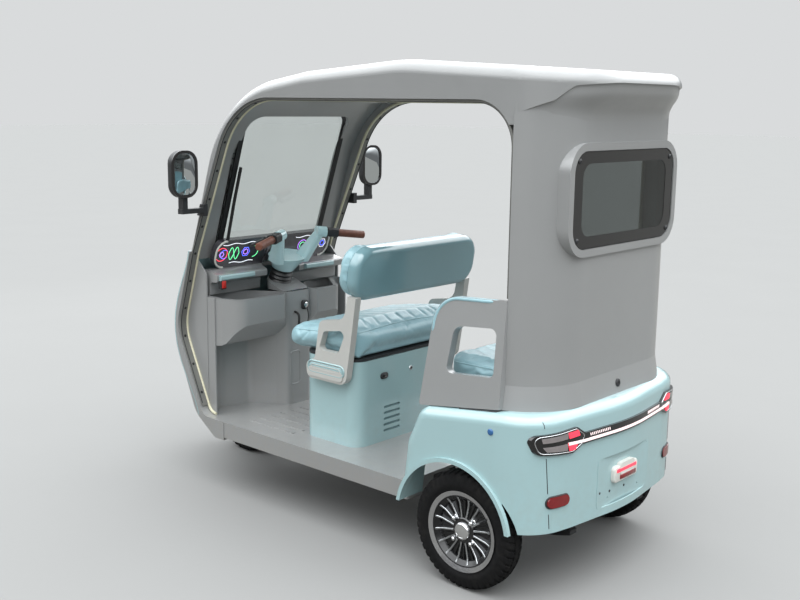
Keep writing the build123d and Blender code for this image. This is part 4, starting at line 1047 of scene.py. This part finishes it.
wiper = [screen_point(286, 60, 4), screen_point(290, 200, 6), screen_point(296, 360, 4)]
wiper_bar = [(0.268, -0.700, 1.030), (0.270, -0.650, 1.200), (0.272, -0.600, 1.350)]
tube("wiper_shaft", wiper_bar, 0.007, rubber, "cabin", "dark_trim")
tube("wiper_arm", wiper, 0.0045, rubber, "cabin", "dark_trim", smooth_line=True)
turned("wiper_hub", [(0.02, 0), (0.02, 0.012), (0.015, 0.02), (0.004, 0.022)],
       [facing(screen_point(286, 52, 0), screen_normal)], rubber, "cabin", "dark_trim")


# Display and dash
DISPLAY_Y, DISPLAY_Z = -722, 916.3


def display_point(u, v, out):
    """A point of the display from its middle, in mm: along x, up the face and outward."""
    h = v + 64
    y = DISPLAY_Y + h * math.sin(SCREEN_LEAN) + out * math.cos(SCREEN_LEAN)
    z = DISPLAY_Z + h * math.cos(SCREEN_LEAN) - out * math.sin(SCREEN_LEAN)
    return Vector((u, y, z)) * MM


frame_loop = [display_point(p.x * 1000, p.y * 1000, 1.5) for p in round_rect(664, 122, 50)]
for side, tag in sides:
    part = [p for p in frame_loop if side * p.x > 0.098]
    # The run starts after its widest gap, which is the broken part of the loop
    first = max(range(len(part)), key=lambda i: (part[i] - part[i - 1]).length)
    tube("display_rim_" + tag, part[first:] + part[:first], 0.0042, white, "cabin", "display", res=4)

neon = {
    "red": glow("neon_red", (240, 70, 80), 1.3), "blue": glow("neon_blue", (90, 110, 250), 1.3),
    "green": glow("neon_green", (110, 230, 160), 1.1), "violet": glow("neon_violet", (190, 130, 250), 1.1),
    "white": glow("neon_white", (235, 238, 245), 0.8),
}


def hexagon(cu, cv, r, turn=0.0):
    return [(cu + r * math.cos(turn + math.pi * k / 3), cv + r * math.sin(turn + math.pi * k / 3)) for k in range(6)]


def ring(cu, cv, r, start=0.0, end=360.0):
    steps = 28
    turns = [math.radians(start + (end - start) * k / steps) for k in range(steps + 1)]
    return [(cu + r * math.cos(a), cv + r * math.sin(a)) for a in turns]


def wave(u0, u1, v0, height, periods, shift=0.0):
    parts = [k / 40 for k in range(41)]
    return [(u0 + (u1 - u0) * s, v0 + height * math.sin(2 * math.pi * periods * s + shift)) for s in parts]


motifs = [
    ("red", ring(300, 0, 30, 40, 320), False), ("blue", ring(286, 0, 20, -140, 140), False),
    ("violet", hexagon(300, 0, 12), True), ("green", wave(205, 262, 0, 28, 1.0), False),
    ("green", wave(205, 262, 0, 28, 1.0, math.pi), False), ("white", wave(120, 300, 44, 3, 2.0), False),
    ("blue", hexagon(168, 2, 22), True), ("violet", hexagon(168, 2, 13, 0.5), True),
    ("green", ring(124, 0, 26, 90, 270), False), ("white", wave(118, 250, -44, 3, 1.5), False),
    ("violet", ring(-168, 0, 26), True), ("green", ring(-168, 0, 15), True),
    ("blue", wave(-262, -205, 0, 26, 1.0), False), ("red", wave(-262, -205, 0, 26, 1.0, math.pi), False),
    ("white", hexagon(-294, 0, 22), True), ("blue", ring(-294, 0, 12), True),
    ("white", wave(-300, -118, 44, 3, 2.0), False),
]
for number, (colour, curve, closed) in enumerate(motifs):
    if closed and len(curve) > 6:
        curve = curve[:-1]
    points = [display_point(u, v, 0.8) for u, v in curve]
    tube(f"motif_{number:02d}", points, 0.0016, neon[colour], "cabin", "display", closed=closed, res=2)

switch_place = facing((0.3475, -0.6345, 0.862), (0, 1, 0), (1, 0, 0))
slab("hazard_frame", round_rect(30, 40, 5), switch_place, -0.012, 0.004, dark, "cabin", "dark_trim", 0.0015)
slab("hazard_switch", round_rect(20, 30, 3), switch_place, 0.004, 0.009, red_button, "cabin", "red_lens", 0.002)


# Mirrors
for side, tag in sides:
    place = facing((side * 0.545, -0.618, 1.332), (0, 1, 0), (1, 0, 0))
    ring_plate("mirror_bezel_" + tag, round_rect(126, 188, 52), round_rect(104, 166, 43), place, -0.002, 0.003,
               black_gloss, "dark_trim", 0.008, 0.002)
    slab("mirror_glass_" + tag, round_rect(106, 168, 44), place, -0.001, 0.0012, mirror_glass, "cabin",
         "bright_steel", 0.0008)


# Tail lamps
lamp_tree = bvh("tail_lamps")
body_tree = bvh("rear_fenders", "rear_bumper")
lamp_red = glow("lamp_red", (240, 60, 80), 0.9)
lamp_white = glow("lamp_white", (245, 225, 225), 0.5)
chamber = plain("lamp_chamber", (128, 122, 122), 0.15, 0.1, 40.0, Coat_Weight=1.0)
silver = plain("lamp_rim", (188, 190, 192), 0.2, 0.05, 40.0, metal=0.9)


def cast(tree, x, z, lift=0.0):
    """A point on the rear at a place across and a height in mm, lifted off it in metres."""
    place, normal = tree.ray_cast(Vector((x * MM, 3, z * MM)), Vector((0, -1, 0)))[:2]
    return place + normal * math.copysign(lift, lift * normal.y)


def rim_on(name, tree, corners, side, lift, step, radius, mat, slot, round_step=5):
    """A cord along an outline with corners (x, z, radius), laid on the rear."""
    loop = evenly(rounded(corners, step=round_step), step)
    tube(name, [cast(tree, side * p.x, p.y, lift) for p in loop], radius, mat, "cabin", slot, closed=True, res=2)


def block_on(name, corners, lift, mat, slot, side):
    """A flat block with slanted ends on the lamps, from its corners (x, z) in mm."""
    (x0, z0), (x1, z1), (x2, z2), (x3, z3) = corners
    parts = 7
    steps = [k / parts for k in range(parts + 1)]
    line = [(x0 + (x1 - x0) * s, z0 + (z1 - z0) * s) for s in steps]
    line += [(x3 + (x2 - x3) * s, z3 + (z2 - z3) * s) for s in steps]
    verts = [cast(lamp_tree, side * x, z, out) for out in (lift, -0.0006) for x, z in line]
    n = parts + 1
    faces = []
    for k in range(parts):
        faces += [(k, k + 1, n + k + 1, n + k), (2 * n + k, 3 * n + k, 3 * n + k + 1, 2 * n + k + 1)]
        faces += [(k, 2 * n + k, 2 * n + k + 1, k + 1), (n + k, n + k + 1, 3 * n + k + 1, 3 * n + k)]
    faces += [(k, n + k, 3 * n + k, 2 * n + k) for k in (0, parts)]
    piece(name, verts, faces, mat, "cabin", slot, 30)


# Blocks of a lamp: name, corners (x, z), lift in metres, material, slot
lamp_blocks = (
    ("chamber_top", [(338, 588), (432, 581), (428, 565), (338, 569)], 0.0014, chamber, "lamp_glass"),
    ("chamber_low", [(338, 553), (428, 552), (416, 536), (338, 530)], 0.0014, chamber, "lamp_glass"),
    ("red_top", [(292, 590), (338, 588), (332, 569), (284, 572)], 0.003, lamp_red, "red_lens"),
    ("red_low", [(290, 553), (338, 554), (330, 528), (304, 528)], 0.003, lamp_red, "red_lens"),
    ("light_end", [(262, 553), (336, 556), (336, 547), (262, 545)], 0.0036, lamp_white, "lamp_glass"),
)
lamp_rim = [(300, 596, 10), (456, 585, 19), (437, 531, 19), (314, 523, 15), (270, 543, 7), (259, 569, 7)]
mark_rim = [(405, 380, 17), (315, 380, 17), (315, 342, 17), (405, 342, 17)]
SEAM_FOOT_X, SEAM_LEAN, SEAM_FOOT_Z, SEAM_STEPS = 391, 27, 272, 36
for side, tag in sides:
    rim_on("lamp_rim_" + tag, lamp_tree, lamp_rim, side, 0.0006, 7.0, 0.0017, silver, "lamp_glass")
    for name, corners, lift, mat, slot in lamp_blocks:
        block_on(f"{name}_{tag}", corners, lift, mat, slot, side)
    rim_on("reflector_rim_" + tag, body_tree, mark_rim, side, 0.001, 6.0, 0.0032, dark, "dark_trim", 4)
    seam = [cast(body_tree, side * (SEAM_FOOT_X + SEAM_LEAN * k / SEAM_STEPS), SEAM_FOOT_Z + 10 * k, -0.0004)
            for k in range(SEAM_STEPS + 1)]
    for number, run in enumerate((seam[:6], seam[12:25], seam[34:])):
        tube(f"body_seam_{tag}_{number}", run, 0.0016, dark, "cabin", "dark_trim", res=1)
draped("light_rail", lamp_tree, 262, 557, 571, 0.0010, black_gloss, "lamp_glass")
draped("light_line", lamp_tree, 262, 543, 553, 0.0008, lamp_white, "lamp_glass")
for side, tag in sides:
    for number in range(12):
        x = 228 - 9 * number
        block_on(f"light_tick_{tag}_{number:02d}", [(x, 569), (x + 4, 569), (x + 1, 560), (x - 3, 560)], 0.0022,
                 lamp_white, "lamp_glass", side)

# Plate lamp: a pale housing with a row of light over a dark lens, and the screws under it
housing = facing((0.004, 1.100, 0.384), (0, 1, 0), (-1, 0, 0))
slab("plate_lamp_case", round_rect(156, 58, 14), housing, -0.010, 0.010, white, "cabin", "grey_body", 0.004)
slab("plate_lamp_row", round_rect(128, 13, 3, shift=(0, 13)), housing, 0.008, 0.0125, lamp_red, "cabin", "red_lens",
     0.0015)
slab("plate_lamp_lens", round_rect(104, 17, 3, shift=(10, -12)), housing, 0.008, 0.0135, red_lens, "cabin", "red_lens",
     0.002)
screw_row = [facing(cast(body_tree, x, z), (0, 1, 0)) for x, z in ((152, 338), (88, 330), (-8, 326))]
turned("plate_screws", [(0.0045, -0.001), (0.0045, 0.0012), (0.002, 0.0016)], screw_row, dark, "cabin", "dark_trim", 12)

# Joint between the shell and the body under it: a dark cord that is partly the joint and partly a painted shadow line
# at the shell's foot
foot_tree = bvh("rear_shell", "side_panels")
JOINT_CENTRE = Vector((0, 0.80, 0.690))
joint_and_shadow_line = []
for k in range(97):
    a = math.radians(-8 + 196 * k / 96)
    way_in = Vector((-math.cos(a), -math.sin(a), 0))
    hit = foot_tree.ray_cast(JOINT_CENTRE - way_in * 1.5, way_in)
    if hit[0] is None:
        continue
    low_hit = body_tree.ray_cast(hit[0] - way_in * 0.003, Vector((0, 0, -1)))
    if low_hit[0] is not None:
        joint_and_shadow_line.append(low_hit[0] + Vector((0, 0, 0.0008)))
# The dark cord along the joint also paints the shadow line under the shell's foot
tube("shell_joint_shadow", joint_and_shadow_line, 0.0026, dark, "cabin", "dark_trim", res=2)

# Small round fittings: lock in the shell, cap on the fender
lock_hit = bvh("rear_shell").ray_cast(Vector((-0.008, 3.0, 0.685)), Vector((0, -1, 0)))
turned("shell_lock", [(0.014, -0.002), (0.014, 0.003), (0.011, 0.005), (0.005, 0.005), (0.0045, 0.003)],
       [facing(lock_hit[0], lock_hit[1])], dark, "cabin", "dark_trim", 24)
cap_from, cap_at = Vector((0.9, 1.166, 0.586)), Vector((0.497, 0.888, 0.586))
cap_hit = bvh("rear_fenders").ray_cast(cap_from, (cap_at - cap_from).normalized())
cap_blue = plain("cap_blue", (42, 96, 150), 0.25, 0.05, 40.0, Coat_Weight=0.5)
turned("fender_cap", [(0.011, -0.002), (0.011, 0.002), (0.008, 0.0042), (0.003, 0.0046)],
       [facing(cap_hit[0], cap_hit[1])], cap_blue, "cabin", "blue_body", 24)


# Seat box, seat frames and the column's face
box_tree = bvh("seat_box")


def on_face(tree, x, z, from_y=1.0):
    """Point of a rear-facing surface at a place across and a height in mm."""
    return tree.ray_cast(Vector((x * MM, from_y, z * MM)), Vector((0, -1, 0)))[0]


# Fittings in the seat box: name, x, z, width, height, corner radius, material of the plate
for name, x, z, width, height, radius, mat in (("socket", 154, 568, 44, 26, 12.9, dark),
                                               ("seat_lock", -4, 572, 20, 20, 9.9, chrome)):
    place = facing(on_face(box_tree, x, z, 0.3), (0, 1, 0), (-1, 0, 0))
    slab(name + "_plate", round_rect(width, height, radius), place, -0.001, 0.004, mat, "cabin", "dark_trim", 0.0015)
    slab(name + "_core", round_rect(width * 0.55, height * 0.5, radius * 0.45), place, 0.003, 0.0055, black_gloss,
         "cabin", "dark_trim", 0.0008)
# Louvre slats in the darker blue, which paints the shade inside the vents
for number in range(5):
    z = 390 + 24 * (number - 2)
    centre = Vector((0.105, on_face(box_tree, 165, z, 0.3).y - 0.004, z * MM))
    slab(f"louvre_{number}", round_rect(88, 8, 3.9), facing(centre, (0, 0.85, 0.5), (-1, 0, 0)), -0.003, 0.001,
         louvre_blue_painted_shade, "cabin", "blue_body", 0.0008)

for side, tag in sides:
    place = facing((side * 0.3440, -0.022, 0.606), (side, 0, 0), (0, 1, 0))
    rim, groove_line = ([place @ Vector((p.x, p.y, out)) for p in loop]
                        for loop, out in ((round_rect(196, 44, 21.9), 0.001), (round_rect(158, 16, 7.9), 0.003)))
    tube("slot_rim_" + tag, rim, 0.0035, blue, "cabin", "blue_body", closed=True, res=3)
    slab("slot_cap_" + tag, round_rect(184, 32, 15.9), place, -0.001, 0.003, blue, "cabin", "blue_body", 0.0015)
    tube("slot_ring_" + tag, groove_line, 0.0016, light_grey, "cabin", "blue_body", closed=True, res=2)

shield_tree = bvh("leg_shield")
face_y = on_face(shield_tree, 30, 680).y


def on_column(*points):
    """Points at x, distance off the column's face and z, in metres."""
    return [Vector((x, face_y + out, z)) for x, out, z in points]


handle = on_column((0.030, -0.002, 0.716), (0.030, 0.022, 0.714), (0.031, 0.028, 0.690), (0.031, 0.024, 0.652),
                   (0.031, -0.002, 0.642))
tube("bag_hook", handle, 0.005, rubber, "cabin", "dark_trim", smooth_line=True)
plug_place = facing((-0.024, face_y, 0.742), (0, 1, 0), (1, 0, 0))
slab("charge_socket", round_rect(34, 40, 9), plug_place, -0.001, 0.010, dark, "cabin", "dark_trim", 0.002)
turned("ignition", [(0.012, 0), (0.012, 0.005), (0.009, 0.007), (0.003, 0.007)],
       [facing((-0.024, face_y + 0.010, 0.742), (0, 1, 0))], chrome, "cabin", "bright_steel", 24)
cord = on_column((-0.030, 0.012, 0.730), (-0.034, 0.022, 0.700), (-0.026, 0.020, 0.660), (-0.020, 0.016, 0.628))
tube("key_cord", cord, 0.0022, rubber, "cabin", "dark_trim", smooth_line=True)
turned("key_fob", [(0.010, -0.002), (0.011, 0.0), (0.010, 0.004)], [facing((-0.020, face_y + 0.014, 0.620), (0, 1, 0))],
       dark, "cabin", "dark_trim", 18)
ridge_line = evenly(rounded([(56, 540, 14), (2, 540, 14), (2, 392, 14), (56, 392, 14)], step=4), 8.0)
ridge = [on_face(shield_tree, p.x, p.y) + Vector((0, 0.0004, 0)) for p in ridge_line]
tube("column_ridge", ridge, 0.0022, grey, "cabin", "grey_body", closed=True, res=2)
